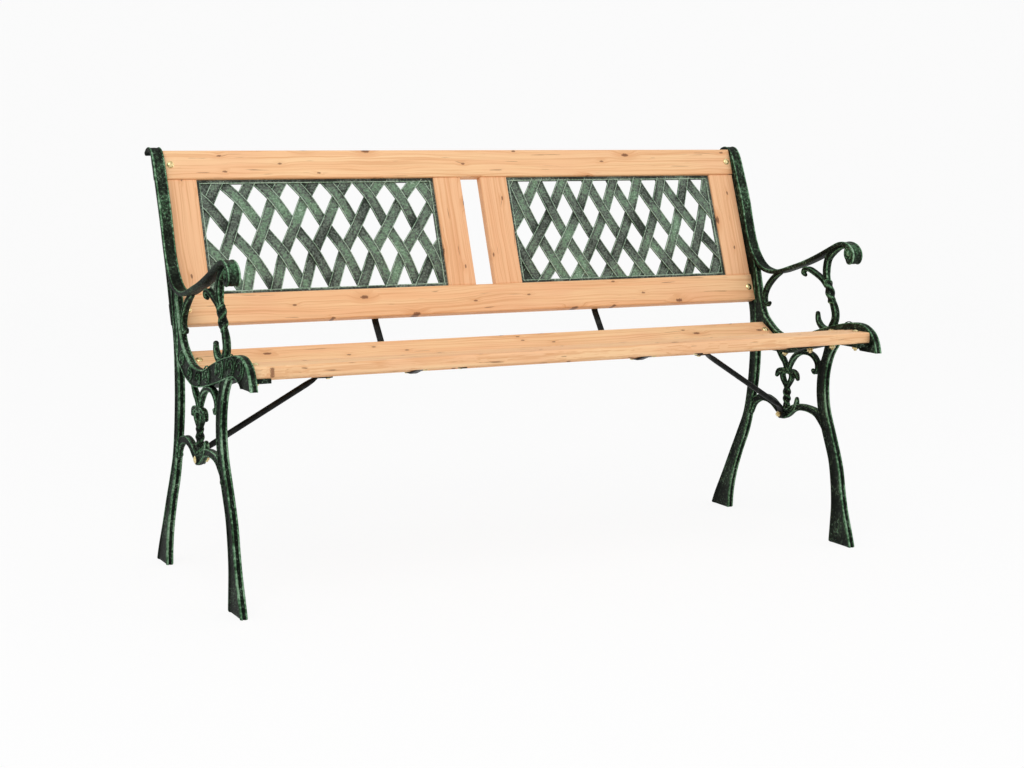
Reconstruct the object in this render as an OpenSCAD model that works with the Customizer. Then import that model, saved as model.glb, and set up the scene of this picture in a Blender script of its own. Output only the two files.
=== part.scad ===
// Garden bench: two cast end frames carry five seat slats and a framed back with two cast
// lattice panels, all bolted together, with two brace rods and two centre straps.
// X runs along the bench, +Y is the back, +Z is up; the origin is on the ground at the centre.

/* [Overall] */
// Length over the arm flanges
bench_length = 1220; // [1000:10:1500]
// Depth of an end frame on the ground, nose to rear heel
frame_depth = 538; // [440:1:650]
// Height of the front slat's top
seat_height = 411; // [340:1:500]

/* [End frames] */
// Thickness of the cast plate
plate_t = 13; // [9:0.5:18]
// Width of the arm and post flange, measured out from the inner face
flange_w = 22; // [17:0.5:28]
// Thickness of the arm and post flange
flange_t = 8; // [6:0.5:10]
// Thickness of the scroll bars
bar_t = 11; // [7:0.5:13]
// Reach of the slat ledge and the rail lugs inward from the plate
ledge_w = 28; // [24:0.5:36]
// Thickness of the slat ledge
ledge_t = 7; // [5:0.5:9]
// Thickness of the rail lugs
lug_t = 8; // [6:0.5:12]
// Height of the rail lugs
lug_h = 38; // [30:1:48]
// Diameter of the boss that takes the brace bolt
boss_d = 20; // [16:0.5:24]

/* [Seat slats] */
// Width of a seat slat
slat_w = 57; // [46:0.5:66]
// Thickness of a seat slat
slat_t = 20; // [15:0.5:26]
// Radius of the slats' long edges
slat_r = 4; // [2:0.5:6]
// Tilt of each slat from front to rear, in degrees, rear edge up
slat_tilt = [0, -8, -13, 0, 28]; // [-20:1:35]

/* [Back] */
// Height of a back rail
rail_h = 53; // [42:0.5:64]
// Thickness of a back rail
rail_t = 22; // [17:0.5:27]
// Radius of the rails' long edges
rail_r = 3; // [1:0.5:5]
// Width of a stile
stile_w = 55.5; // [45:0.5:70]
// Thickness of a stile
stile_t = 16; // [14:0.5:20]
// Open gap between the two inner stiles
centre_gap = 41; // [20:1:80]
// Thickness of a lattice panel's rim
panel_t = 7.5; // [5:0.5:9]
// Width of a lattice panel's rim that shows inside the opening
panel_rim = 7; // [4:0.5:12]
// Width of a lattice bar
lattice_bar = 20; // [14:0.5:26]
// Thickness of a lattice bar
lattice_t = 5; // [3:0.5:7]
// Number of lattice openings across the middle row
lattice_columns = 8; // [6:1:10]

/* [Steel stays] */
// Diameter of a brace rod
brace_d = 10.5; // [8:0.5:13]
// Thickness of a brace rod's flattened ends
tab_t = 4; // [3:0.5:5]
// Width of a brace rod's flattened ends
tab_w = 17; // [14:0.5:20]
// Width of a centre strap
strap_w = 12; // [10:0.5:18]
// Thickness of a centre strap
strap_t = 3.5; // [2:0.5:5]
// Distance of a centre strap from the middle
strap_x = 228; // [150:1:300]
// Sideways offset of both centre straps
strap_shift = 4; // [0:1:10]

/* [Fasteners] */
// Diameter of the bolts
bolt_d = 6; // [5:0.5:7]
// Diameter of a domed bolt head
head_d = 13; // [11:0.5:16]
// Height of a domed bolt head
head_h = 3; // [2:0.5:4]
// Distance of the slat and rail bolts from the plate's inner face
bolt_inset = 11; // [9:0.5:14]
// Width of a nut across its flats
nut_af = 10; // [8:0.5:11]
// Thickness of a nut
nut_t = 5; // [4:0.5:6]
// Outer diameter of a washer
washer_d = 13; // [11:0.5:14]
// Thickness of a washer
washer_t = 1.2; // [1:0.2:2]
// Diameter of a wood screw's shank
screw_d = 4; // [3:0.5:5]
// Diameter of a wood screw's head
screw_head_d = 8; // [6:0.5:10]
// Height of a wood screw's head
screw_head_h = 2.4; // [1.6:0.2:3]
// Length of a wood screw's shank
screw_l = 16; // [10:1:18]

/* [Fits] */
// Gap between the timber ends and the castings
end_gap = 0.5; // [0.3:0.1:1]
// Clearance of a bolt or screw in its hole, on the diameter
hole_fit = 0.6; // [0.4:0.1:1]
// Clearance of a nut or washer on its bolt, on the diameter
nut_fit = 0.2; // [0.1:0.1:0.4]
// Clearance on each side of a tenon or a panel in its groove
groove_fit = 0.2; // [0.1:0.05:0.4]
// Depth of the rail and stile grooves
groove_d = 8; // [6:0.5:10]
// How far a panel or a tenon enters its groove
groove_in = 7; // [5:0.5:7]

/* [Hidden] */
$fn = 48;

// How far a cut runs past the face it opens
cut = 1;

// Colours
iron = [0.16, 0.24, 0.19];
pine = [0.90, 0.68, 0.45];
zinc = [0.78, 0.70, 0.42];
steel = [0.09, 0.09, 0.09];

// The end frame is drawn at this depth and seat height, and stretched to the chosen ones:
// depths scale, and heights are let in over the lower legs, so the curves above keep their form.
drawn_depth = 538;
drawn_seat = 411;
leg_top = 200;
depth_k = frame_depth / drawn_depth;
lift = seat_height - drawn_seat;
function place(p) = [p[0] * depth_k, p[1] + lift * min(1, p[1] / leg_top)];
function placed(pts) = [for (p = pts) len(p) > 2 ? concat(place(p), [p[2]]) : place(p)];

// Lengthwise places
inner_x = bench_length / 2 - flange_w;
outer_x = inner_x + plate_t;
bar_x = inner_x + (plate_t - bar_t) / 2;
timber_x = inner_x - end_gap;
bolt_x = inner_x - bolt_inset;

// Seat: the middle of each slat's top, in depth and height
slat_at = placed([[-221, 411], [-147, 405], [-75, 390], [-1, 376.5], [70, 385]]);
function slat_point(i, across, down) = [
    slat_at[i][0] + across * cos(slat_tilt[i]) + down * sin(slat_tilt[i]),
    slat_at[i][1] + across * sin(slat_tilt[i]) - down * cos(slat_tilt[i])
];
slat_last = len(slat_at) - 1;
// A line along the slats' undersides, moved down by a distance
function under_seat(down) = [
    for (i = [0 : slat_last]) for (e = [-1, 1]) slat_point(i, e * slat_w / 2, slat_t + down)
];

// Back: the middle of the lower and the upper rail's front face
back_low = place([130, 464.5]);
back_top = place([221, 711]);
recline = atan2(back_top[0] - back_low[0], back_top[1] - back_low[1]);
rail_pitch = norm(back_top - back_low);
opening_h = rail_pitch - rail_h;
opening_s = rail_h / 2;
stile_in = (rail_t - stile_t) / 2;
groove_w = panel_t + 2 * groove_fit;
groove_at = (rail_t - groove_w) / 2;
stile_shoulder = 6;
outer_stile_x = timber_x - stile_w;
inner_stile_x = centre_gap / 2;
opening_x = inner_stile_x + stile_w;
opening_w = outer_stile_x - opening_x;

// Lattice: bars cross on a fan, so that its rows rise a little towards their ends
fan_r = 1500;
lattice_pitch = opening_w / (lattice_columns - 0.3);
lattice_rows = [-167, -117.5, -72.5, -19, 31.5, 94, 152];
middle_row = 3;
// How far the left and the right casting's pattern stands sideways off the panel's middle, as drawn
pattern_off = [-5, 6.5];

// Braces and straps: a rod laps onto its flattened ends, and a strap stands behind the rear slat
brace_foot = place([24, 222]);
brace_head = [inner_x - 214, slat_at[3][0] - 7];
brace_head_z = slat_at[3][1] - slat_t;
foot_tab_l = 27;
head_tab_l = 34;
rod_lap = 8;
strap_top = 22;
strap_stand = 5;
strap_ease = 3;

// Fasteners: thread past a nut, and room past a screw's tip
thread_out = 3;
tip_room = 1;
bolt_tail = washer_t + nut_t + thread_out;
seat_stack = slat_t + ledge_t;
back_stack = rail_t + lug_t;
brace_stack = plate_t + tab_t;

// Outlines of the end frame, as depth and height, on the drawn size
spine_front = [
    [205, 0], [202, 36], [190, 81], [170, 128], [149, 170], [132, 224], [119, 282], [115, 333],
    [118, 385], [121, 430], [126, 470], [131, 515], [152, 552], [168, 592], [183, 636],
    [199, 673], [211, 702], [222, 722], [236, 734], [250, 736]
];
spine_rear = [
    [269, 0], [256, 27], [229, 74], [204, 120], [178, 167], [156, 211], [144, 270], [139, 331],
    [140, 392], [145, 425], [155, 447], [163, 470], [174, 506], [186, 542], [201, 583],
    [217, 624], [232, 660], [246, 692], [257, 712], [262, 728]
];
front_leg_rear = [
    [-139, 0], [-142, 36], [-144, 75], [-140, 118], [-132, 156], [-117, 191], [-101, 228],
    [-91, 265], [-89, 295], [-93, 326], [-104, 350], [-112, 372]
];
front_leg_front = [
    [-207, 0], [-196, 32], [-183, 68], [-174, 104], [-166, 142], [-153, 177], [-137, 213],
    [-121, 251], [-115, 290], [-118, 324], [-131, 358], [-156, 388]
];
seat_rim = [
    [-269, 374], [-265, 388], [-258, 402], [-246, 414], [-224, 423], [-196, 424], [-158, 418],
    [-119, 409], [-77, 397], [-43, 385], [-16, 379], [15, 378], [43, 382], [69, 395],
    [92, 413], [104, 436], [114, 468], [124, 504]
];
seat_low = [
    [-219, 374], [-212, 380], [-203, 384], [-192, 386], [-175, 387], [-152, 382], [-119, 373],
    [-83, 364], [-38, 354], [-10, 349], [15, 346], [40, 346], [68, 353], [92, 363],
    [116, 380], [128, 400], [138, 440], [150, 500]
];
// Outer face of the flange: from the curl on the post, down the post and along the arm
flange_line = [
    [268, 732], [257, 739], [243, 741], [230, 736], [219, 724], [208, 702], [196, 675],
    [179, 636], [165, 592], [153, 560], [142, 540], [130, 525], [116, 513], [98, 505],
    [70, 502], [38, 507], [5, 516], [-27, 525], [-59, 536], [-90, 548], [-121, 561],
    [-142, 569], [-160, 571], [-177, 567], [-189, 558], [-193, 547], [-190, 536],
    [-182, 530], [-173, 531], [-168, 538]
];
// Scroll bars: depth, height and width
ring_rear = [[44, 500, 10], [61, 491, 10], [77, 479, 10], [90, 465, 10], [97, 450, 9],
    [96, 438, 8], [88, 431, 7], [80, 436, 6]];
ring_front_upper = [[-158, 564, 11], [-143, 561, 12], [-126, 552, 13], [-111, 539, 13],
    [-105, 524, 13], [-104, 506, 13], [-110, 488, 13]];
ring_front_lower = [[-110, 488, 13], [-119, 468, 13], [-129, 450, 13], [-135, 436, 13],
    [-134, 422, 13], [-124, 406, 14], [-116, 396, 14]];
ring_hook = [[-124, 402, 10], [-104, 403, 10], [-91, 408, 9], [-82, 418, 8], [-80, 430, 8]];
ring_spur = [[-106, 484, 10], [-92, 496, 9], [-72, 505, 9], [-50, 512, 9], [-36, 511, 8],
    [-31, 504, 7], [-37, 500, 6]];
vine_left = [[48, 348, 9], [36, 336, 9], [24, 325, 9], [17, 310, 9]];
vine_arch = [[11, 310, 9], [3, 325, 9], [-9, 339, 9], [-26, 348, 9], [-45, 351, 9],
    [-62, 350, 9], [-75, 344, 9], [-84, 334, 9], [-84, 323, 8], [-77, 316, 8], [-69, 319, 7]];
vine_leaf_rear = [[12, 306, 8], [28, 309, 9], [43, 305, 9], [50, 296, 7]];
vine_leaf_front = [[18, 306, 8], [0, 309, 9], [-14, 305, 9], [-20, 296, 7]];
heart_rear = [[15, 308, 8], [28, 304, 8], [30, 296, 8], [24, 286, 8], [15, 276, 9]];
heart_front = [[15, 308, 8], [2, 304, 8], [0, 296, 8], [6, 286, 8], [15, 276, 9]];
rope = [[15, 282, 14], [15, 262, 16], [15, 240, 14]];
stretcher = [[138, 212, 16], [126, 232, 15], [106, 243, 14], [82, 246, 14], [60, 241, 14],
    [42, 231, 15], [24, 222, 17], [8, 226, 15], [-12, 238, 14], [-36, 243, 13],
    [-62, 243, 13], [-86, 238, 15], [-104, 224, 16], [-116, 208, 14]];
stretcher_hook = [[8, 236, 8], [-4, 231, 8], [-14, 238, 8], [-18, 248, 8], [-19, 257, 7]];
bead_at = [[-112, 484], [-117, 472], [-122, 460]];
bead_d = 18;

// Smooth curve through control points
function curve_at(a, b, c, d, t) = 0.5 * (2 * b + (c - a) * t + (2 * a - 5 * b + 4 * c - d) * t * t
    + (3 * b - a - 3 * c + d) * t * t * t);
function smooth(p, n = 3) = let (l = len(p) - 1) concat(
    [for (i = [0 : l - 1]) for (k = [0 : n - 1])
        curve_at(p[max(i - 1, 0)], p[i], p[i + 1], p[min(i + 2, l)], k / n)],
    [p[l]]);
function reversed(p) = [for (i = [len(p) - 1 : -1 : 0]) p[i]];
// A curve moved sideways by a share of its own width, or by a fixed distance
function heading(c, i) = let (d = c[min(i + 1, len(c) - 1)] - c[max(i - 1, 0)])
    [d[0], d[1]] / norm([d[0], d[1]]);
function beside(c, s) = [for (i = [0 : len(c) - 1]) let (h = heading(c, i), w = len(c[i]) > 2 ? c[i][2] : 1)
    [c[i][0] - s * w * h[1], c[i][1] + s * w * h[0]]];

module between(a, b, n = 3) polygon(concat(smooth(placed(a), n), reversed(smooth(placed(b), n))));
module scroll(p, n = 4) {
    c = smooth(placed(p), n);
    polygon(concat(beside(c, 0.5), reversed(beside(c, -0.5))));
}
module flange_outline() {
    c = smooth(placed(flange_line), 3);
    polygon(concat(c, reversed(beside(c, flange_t))));
}
// Stands a drawing of depth and height up, from x and thick along X
module upright(x, thick) translate([x, 0, 0]) rotate([90, 0, 90]) linear_extrude(thick) children();
// Joins the pieces of a drawing into one outline, with its inner corners rounded or left sharp
module blended(r) offset(r = -r) offset(delta = r) children();
module joined() offset(delta = -0.01) offset(delta = 0.01) children();

// Places a piece that is drawn flat on the seat: X along the bench, Z up from the slat's top
module on_slat(i) translate([0, slat_at[i][0], slat_at[i][1]]) rotate([slat_tilt[i], 0, 0]) children();
// Places a piece that is drawn on the back: Y rearward from the rails' front face, Z up the slope
module on_back() translate([0, back_low[0], back_low[1]]) rotate([-recline, 0, 0]) children();

module plate_outline() blended(2.5) {
    between(spine_front, spine_rear);
    between(front_leg_front, front_leg_rear);
    between(seat_rim, seat_low);
}
module bars_outline() blended(1.5) {
    for (p = [ring_rear, ring_front_upper, ring_front_lower, ring_hook, ring_spur, vine_left, vine_arch,
            vine_leaf_rear, vine_leaf_front, heart_rear, heart_front, rope, stretcher, stretcher_hook])
        scroll(p);
    for (b = bead_at) translate(place(b)) circle(d = bead_d, $fn = 24);
}
module ledge_outline() polygon(concat(under_seat(0), reversed(under_seat(ledge_t))));

// The right-hand casting; its inner face is flat and the flange stands out on the outside
module casting() difference() {
    union() {
        upright(inner_x, plate_t) plate_outline();
        upright(bar_x, bar_t) bars_outline();
        upright(inner_x, flange_w) flange_outline();
        upright(inner_x - ledge_w, ledge_w + plate_t / 2) ledge_outline();
        translate([inner_x, brace_foot[0], brace_foot[1]]) rotate([0, 90, 0])
            cylinder(d = boss_d, h = plate_t);
        on_back() for (s = [0, rail_pitch])
            translate([inner_x - ledge_w, rail_t, s - lug_h / 2]) cube([ledge_w + plate_t, lug_t, lug_h]);
    }
    for (i = [0 : slat_last]) on_slat(i) translate([bolt_x, 0, -seat_stack - cut])
        cylinder(d = bolt_d + hole_fit, h = ledge_t + 2 * cut);
    on_back() for (s = [0, rail_pitch]) translate([bolt_x, rail_t - cut, s]) rotate([-90, 0, 0])
        cylinder(d = bolt_d + hole_fit, h = lug_t + 2 * cut);
    translate([inner_x - cut, brace_foot[0], brace_foot[1]]) rotate([0, 90, 0])
        cylinder(d = bolt_d + hole_fit, h = plate_t + 2 * cut);
}
module end_frame_right() color(iron) casting();
module end_frame_left() color(iron) mirror([1, 0, 0]) casting();

// Section of a board with eased long edges, width by thickness, its top at zero
function eased(w, t, r, n = 4) = [
    for (q = [[1, 0, 0], [-1, 0, 90], [-1, -1, 180], [1, -1, 270]]) for (k = [0 : n])
        let (a = q[2] + 90 * k / n)
        [q[0] * (w / 2 - r) + r * cos(a), (q[1] == 0 ? -r : -t + r) + r * sin(a)]
];
module board(length, w, t, r) translate([-length / 2, 0, 0]) rotate([90, 0, 90])
    linear_extrude(length) polygon(eased(w, t, r));
module screw_hole(depth) translate([0, 0, -cut]) cylinder(d = screw_d + hole_fit, h = depth + cut);

// Places a fastener at a strap: z up into the slat from its underside
module at_strap_screw(i, side) on_slat(i) translate([side * strap_x + strap_shift, 0, -slat_t]) children();
module at_strap_rail_screw(side) on_back()
    translate([side * strap_x + strap_shift, rail_t, 0]) rotate([90, 0, 0]) children();
module at_brace_screw(side) translate([side * brace_head[0], brace_head[1], brace_head_z]) children();

module slat(i) color(pine) difference() {
    on_slat(i) board(2 * timber_x, slat_w, slat_t, slat_r);
    for (side = [-1, 1]) {
        on_slat(i) translate([side * bolt_x, 0, -slat_t - cut])
            cylinder(d = bolt_d + hole_fit, h = slat_t + 2 * cut);
        at_strap_screw(i, side) screw_hole(screw_l - strap_t + tip_room);
        if (i == 3) at_brace_screw(side) screw_hole(screw_l - tab_t + tip_room);
    }
}
module seat_slat_1() slat(0);
module seat_slat_2() slat(1);
module seat_slat_3() slat(2);
module seat_slat_4() slat(3);
module seat_slat_5() slat(4);

// A back rail; the groove is in the edge that faces the opening, up is 1 or -1
module rail(s, up) color(pine) difference() {
    groove_l = timber_x - inner_stile_x - 2 * stile_shoulder + 2 * groove_fit;
    on_back() translate([0, 0, s]) rotate([90, 0, 0]) board(2 * timber_x, rail_h, rail_t, rail_r);
    for (side = [-1, 1]) {
        on_back() translate([side * bolt_x, -cut, s]) rotate([-90, 0, 0])
            cylinder(d = bolt_d + hole_fit, h = rail_t + 2 * cut);
        on_back() translate([side * (inner_stile_x + timber_x) / 2, rail_t / 2, s + up * rail_h / 2])
            cube([groove_l, groove_w, 2 * groove_d], center = true);
        if (up == 1) at_strap_rail_screw(side) screw_hole(screw_l - strap_t + tip_room);
    }
}
module back_top_rail() rail(rail_pitch, -1);
module back_bottom_rail() rail(0, 1);

// A stile from x to x + stile_w, with a stub tenon at each end and a groove on the panel's side
module stile(x, panel_side) color(pine) on_back() difference() {
    union() {
        translate([x, stile_in, opening_s]) cube([stile_w, stile_t, opening_h]);
        translate([x + stile_shoulder, groove_at + groove_fit, opening_s - groove_in])
            cube([stile_w - 2 * stile_shoulder, panel_t, opening_h + 2 * groove_in]);
    }
    translate([panel_side > 0 ? x + stile_w - groove_d : x - cut, groove_at, opening_s - groove_d])
        cube([groove_d + cut, groove_w, opening_h + 2 * groove_d]);
}
module back_stile_left_outer() stile(-timber_x, 1);
module back_stile_left_inner() stile(-opening_x, -1);
module back_stile_right_inner() stile(inner_stile_x, 1);
module back_stile_right_outer() stile(outer_stile_x, -1);

// A place on the lattice's fan, a along its middle and t up from the panel's middle; the bars cross
// on rows that stand a little wider apart towards the top
function fan(a, t) = let (r = fan_r - t, f = a / fan_r * 180 / PI) [r * sin(f), fan_r - r * cos(f)];
// One bar, which leans by half a pitch for each row; lean is 1 or -1
function bar_line(a0, lean) = [
    for (k = [-3 : 3]) fan(a0 + lean * k * lattice_pitch / 2, lattice_rows[middle_row + k])
];
// A cell that is cast solid, at a column and a row counted from the middle row of crossings
module solid_cell(col, row) {
    t = lattice_rows[middle_row + row];
    translate(fan(col * lattice_pitch, t)) polygon([
        [-lattice_pitch / 2, 0], [0, lattice_rows[middle_row + row + 1] - t],
        [lattice_pitch / 2, 0], [0, lattice_rows[middle_row + row - 1] - t]
    ]);
}
module lattice_outline(off) intersection() {
    square([opening_w + 1, opening_h + 1], center = true);
    translate([off, 0]) union() {
        for (lean = [-1, 1]) for (j = [-lattice_columns : lattice_columns]) {
            c = bar_line((j + lattice_columns / 2) * lattice_pitch, lean);
            polygon(concat(beside(c, lattice_bar / 2), reversed(beside(c, -lattice_bar / 2))));
        }
        for (side = [-1, 1]) solid_cell(side * lattice_columns / 2, 1);
        for (j = [0 : lattice_columns - 1]) if (j != 1 && j != lattice_columns - 2)
            solid_cell(j - (lattice_columns - 1) / 2, -2);
    }
}
module rim_outline() difference() {
    square([opening_w + 2 * groove_in - 1, opening_h + 2 * groove_in - 1], center = true);
    square([opening_w - 2 * panel_rim, opening_h - 2 * panel_rim], center = true);
}
// A panel stands in the opening; turned is 1 for the panel whose fan opens the other way up
module lattice_panel(side, turned) color(iron) on_back()
    translate([side * (opening_x + opening_w / 2), rail_t / 2, opening_s + opening_h / 2])
        rotate([90, turned ? 180 : 0, 0]) {
            translate([0, 0, -panel_t / 2]) linear_extrude(panel_t) rim_outline();
            translate([0, 0, -lattice_t / 2]) linear_extrude(lattice_t)
                joined() lattice_outline(pattern_off[turned ? 0 : 1]);
        }
module lattice_panel_left() lattice_panel(-1, true);
module lattice_panel_right() lattice_panel(1, false);

// Brace rod: a tab on the stretcher's boss, a round rod, and a tab under the fourth slat
module brace() {
    foot = [inner_x, brace_foot[0], brace_foot[1]];
    head = [brace_head[0], brace_head[1], brace_head_z];
    turn = atan2(head[1] - foot[1], head[0] - foot[0]);
    off_tab = (brace_d + tab_t) / 2;
    lower = foot + [-off_tab, 0, foot_tab_l - rod_lap];
    upper = head - (head_tab_l - rod_lap) * [cos(turn), sin(turn), 0] - [0, 0, off_tab];
    along = upper - lower;
    difference() {
        union() {
            translate(lower) rotate([0, acos(along[2] / norm(along)), atan2(along[1], along[0])])
                translate([0, 0, -brace_d]) cylinder(d = brace_d, h = norm(along) + 2 * brace_d);
            translate(foot) rotate([0, -90, 0]) cylinder(d = tab_w, h = tab_t);
            translate(foot - [tab_t, tab_w / 2, 0]) cube([tab_t, tab_w, foot_tab_l]);
            translate(head - [0, 0, tab_t]) cylinder(d = tab_w, h = tab_t);
            translate(head - [0, 0, tab_t]) rotate([0, 0, turn])
                translate([-head_tab_l, -tab_w / 2, 0]) cube([head_tab_l, tab_w, tab_t]);
        }
        translate(foot + [cut, 0, 0]) rotate([0, -90, 0])
            cylinder(d = bolt_d + hole_fit, h = tab_t + 2 * cut);
        translate(head - [0, 0, tab_t + cut]) cylinder(d = screw_d + hole_fit, h = tab_t + 2 * cut);
        translate(foot + [0, -tab_w, 0]) cube([3 * brace_d, 2 * tab_w, 2 * foot_tab_l]);
        translate(head - [head_tab_l, head_tab_l, 0]) cube([2 * head_tab_l, 2 * head_tab_l, 3 * brace_d]);
    }
}
module brace_rod_right() color(steel) brace();
module brace_rod_left() color(steel) mirror([1, 0, 0]) brace();

// Centre strap: along the slats' undersides, up behind the rear slat and up the lower rail's back
function on_back_point(y, s) = [
    back_low[0] + y * cos(recline) + s * sin(recline), back_low[1] - y * sin(recline) + s * cos(recline)
];
function strap_line(down) = concat(
    [slat_point(0, -slat_w / 4, slat_t + down)],
    [for (k = [1 : 2 * slat_last + 1]) under_seat(down)[k]],
    [slat_point(slat_last, slat_w / 2 + strap_stand + down, slat_t - strap_ease + down / 2)],
    [for (s = [-rail_h / 2 - strap_ease, strap_top]) on_back_point(rail_t + down, s)]
);
module strap(side) color(steel) difference() {
    translate([side * strap_x + strap_shift - strap_w / 2, 0, 0]) rotate([90, 0, 90])
        linear_extrude(strap_w) polygon(concat(strap_line(0), reversed(strap_line(strap_t))));
    for (i = [0 : slat_last]) at_strap_screw(i, side) translate([0, 0, -strap_t - cut])
        cylinder(d = screw_d + hole_fit, h = strap_t + 2 * cut);
    at_strap_rail_screw(side) translate([0, 0, -strap_t - cut])
        cylinder(d = screw_d + hole_fit, h = strap_t + 2 * cut);
}
module centre_strap_left() strap(-1);
module centre_strap_right() strap(1);

// Fasteners, drawn with the underside of the head at zero and the shank down -Z
module dome_head(d, h) {
    r = (d * d / 4 + h * h) / (2 * h);
    intersection() {
        translate([0, 0, h - r]) sphere(r = r);
        cylinder(d = d + cut, h = h + cut);
    }
}
module bolt(grip) {
    dome_head(head_d, head_h);
    translate([0, 0, -grip]) cylinder(d = bolt_d, h = grip);
}
module nut() difference() {
    cylinder(d = nut_af / cos(30), h = nut_t, $fn = 6);
    translate([0, 0, -cut]) cylinder(d = bolt_d + nut_fit, h = nut_t + 2 * cut);
}
module washer() difference() {
    cylinder(d = washer_d, h = washer_t);
    translate([0, 0, -cut]) cylinder(d = bolt_d + nut_fit, h = washer_t + 2 * cut);
}
module wood_screw(under) {
    translate([0, 0, -under - screw_head_h]) cylinder(d = screw_head_d, h = screw_head_h);
    translate([0, 0, -under]) cylinder(d = screw_d, h = screw_l);
}

// Places fasteners at the seat's, the back's and a brace's bolts; side is 1 or -1
module at_seat_bolt(side) for (i = [0 : slat_last]) on_slat(i) translate([side * bolt_x, 0, 0]) children();
module at_back_bolt(side) on_back() for (s = [0, rail_pitch])
    translate([side * bolt_x, 0, s]) rotate([90, 0, 0]) children();
module at_brace_bolt(side) mirror([side < 0 ? 1 : 0, 0, 0])
    translate([outer_x, brace_foot[0], brace_foot[1]]) rotate([0, 90, 0]) children();

module seat_bolts(side) color(zinc) at_seat_bolt(side) bolt(seat_stack + bolt_tail);
module seat_washers(side) color(zinc) at_seat_bolt(side) translate([0, 0, -seat_stack - washer_t]) washer();
module seat_nuts(side) color(zinc) at_seat_bolt(side) translate([0, 0, -seat_stack - washer_t - nut_t]) nut();
module back_bolts(side) color(zinc) at_back_bolt(side) bolt(back_stack + bolt_tail);
module back_washers(side) color(zinc) at_back_bolt(side) translate([0, 0, -back_stack - washer_t]) washer();
module back_nuts(side) color(zinc) at_back_bolt(side) translate([0, 0, -back_stack - washer_t - nut_t]) nut();
module brace_bolt(side) color(zinc) at_brace_bolt(side) bolt(brace_stack + nut_t + thread_out);
module brace_nut(side) color(zinc) at_brace_bolt(side) translate([0, 0, -brace_stack - nut_t]) nut();
module brace_screw(side) color(zinc) at_brace_screw(side) wood_screw(tab_t);
module strap_screws(side) color(zinc) {
    for (i = [0 : slat_last]) at_strap_screw(i, side) wood_screw(strap_t);
    at_strap_rail_screw(side) wood_screw(strap_t);
}

end_frame_left();
end_frame_right();
seat_slat_1();
seat_slat_2();
seat_slat_3();
seat_slat_4();
seat_slat_5();
back_top_rail();
back_bottom_rail();
back_stile_left_outer();
back_stile_left_inner();
back_stile_right_inner();
back_stile_right_outer();
lattice_panel_left();
lattice_panel_right();
brace_rod_left();
brace_rod_right();
centre_strap_left();
centre_strap_right();
seat_bolts(-1);  // seat_bolts_left
seat_bolts(1);  // seat_bolts_right
seat_washers(-1);  // seat_washers_left
seat_washers(1);  // seat_washers_right
seat_nuts(-1);  // seat_nuts_left
seat_nuts(1);  // seat_nuts_right
back_bolts(-1);  // back_bolts_left
back_bolts(1);  // back_bolts_right
back_washers(-1);  // back_washers_left
back_washers(1);  // back_washers_right
back_nuts(-1);  // back_nuts_left
back_nuts(1);  // back_nuts_right
brace_bolt(-1);  // brace_bolt_left
brace_bolt(1);  // brace_bolt_right
brace_nut(-1);  // brace_nut_left
brace_nut(1);  // brace_nut_right
brace_screw(-1);  // brace_screw_left
brace_screw(1);  // brace_screw_right
strap_screws(-1);  // strap_screws_left
strap_screws(1);  // strap_screws_right
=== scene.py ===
"""Garden bench: fine shapes and finishes of every piece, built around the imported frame.

Lengths are in metres, except where a docstring says millimetres. X runs along the bench, +Y is the
back and +Z is up.
"""
import logging
import math
from collections.abc import Sequence
from dataclasses import dataclass, field
from enum import Enum

import bmesh
import bpy
import numpy as np
from mathutils import Matrix, Vector


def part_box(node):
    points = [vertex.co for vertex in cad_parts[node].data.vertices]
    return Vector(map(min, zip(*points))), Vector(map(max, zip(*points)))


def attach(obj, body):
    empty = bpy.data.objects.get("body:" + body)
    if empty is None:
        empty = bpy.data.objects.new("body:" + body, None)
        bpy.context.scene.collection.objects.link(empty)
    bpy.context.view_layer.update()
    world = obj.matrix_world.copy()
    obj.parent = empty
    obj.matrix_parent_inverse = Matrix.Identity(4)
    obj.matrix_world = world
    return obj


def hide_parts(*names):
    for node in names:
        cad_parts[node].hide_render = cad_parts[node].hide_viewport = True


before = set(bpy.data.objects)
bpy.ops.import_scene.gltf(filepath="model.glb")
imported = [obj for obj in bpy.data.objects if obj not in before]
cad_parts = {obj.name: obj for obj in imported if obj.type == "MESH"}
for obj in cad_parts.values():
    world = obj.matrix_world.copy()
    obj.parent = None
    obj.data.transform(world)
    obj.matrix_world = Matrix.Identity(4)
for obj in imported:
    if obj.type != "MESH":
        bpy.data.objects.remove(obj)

LOG = logging.getLogger("garden_bench")
MM = 0.001
Point = Sequence[float]


class Side(Enum):
    """End of the bench, as the sign of its X."""

    LEFT = -1
    RIGHT = 1


class Lean(Enum):
    """Way that a lattice bar leans as it rises."""

    LEFTWARD = -1
    RIGHTWARD = 1


# ---------------------------------------------------------------- curves and meshes


def smooth(points: Sequence[Point], steps: int = 4) -> np.ndarray:
    """Rounds a row of points into a curve that passes through each of them.

    Args:
        points: The points, with any number of values each.
        steps: Pieces that each stretch between two points is divided into.

    Returns:
        The curve's points, one row each.
    """
    p = np.asarray(points, float)
    last = len(p) - 1
    rows = []
    for i in range(last):
        a, b, c, d = p[max(i - 1, 0)], p[i], p[i + 1], p[min(i + 2, last)]
        for k in range(steps):
            t = k / steps
            rows.append(0.5 * (2 * b + (c - a) * t + (2 * a - 5 * b + 4 * c - d) * t ** 2
                               + (3 * b - a - 3 * c + d) * t ** 3))
    rows.append(p[last])
    return np.array(rows)


def unit(v: np.ndarray) -> np.ndarray:
    """Scales each row to length one."""
    return v / np.maximum(np.linalg.norm(v, axis=-1, keepdims=True), 1e-12)


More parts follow.
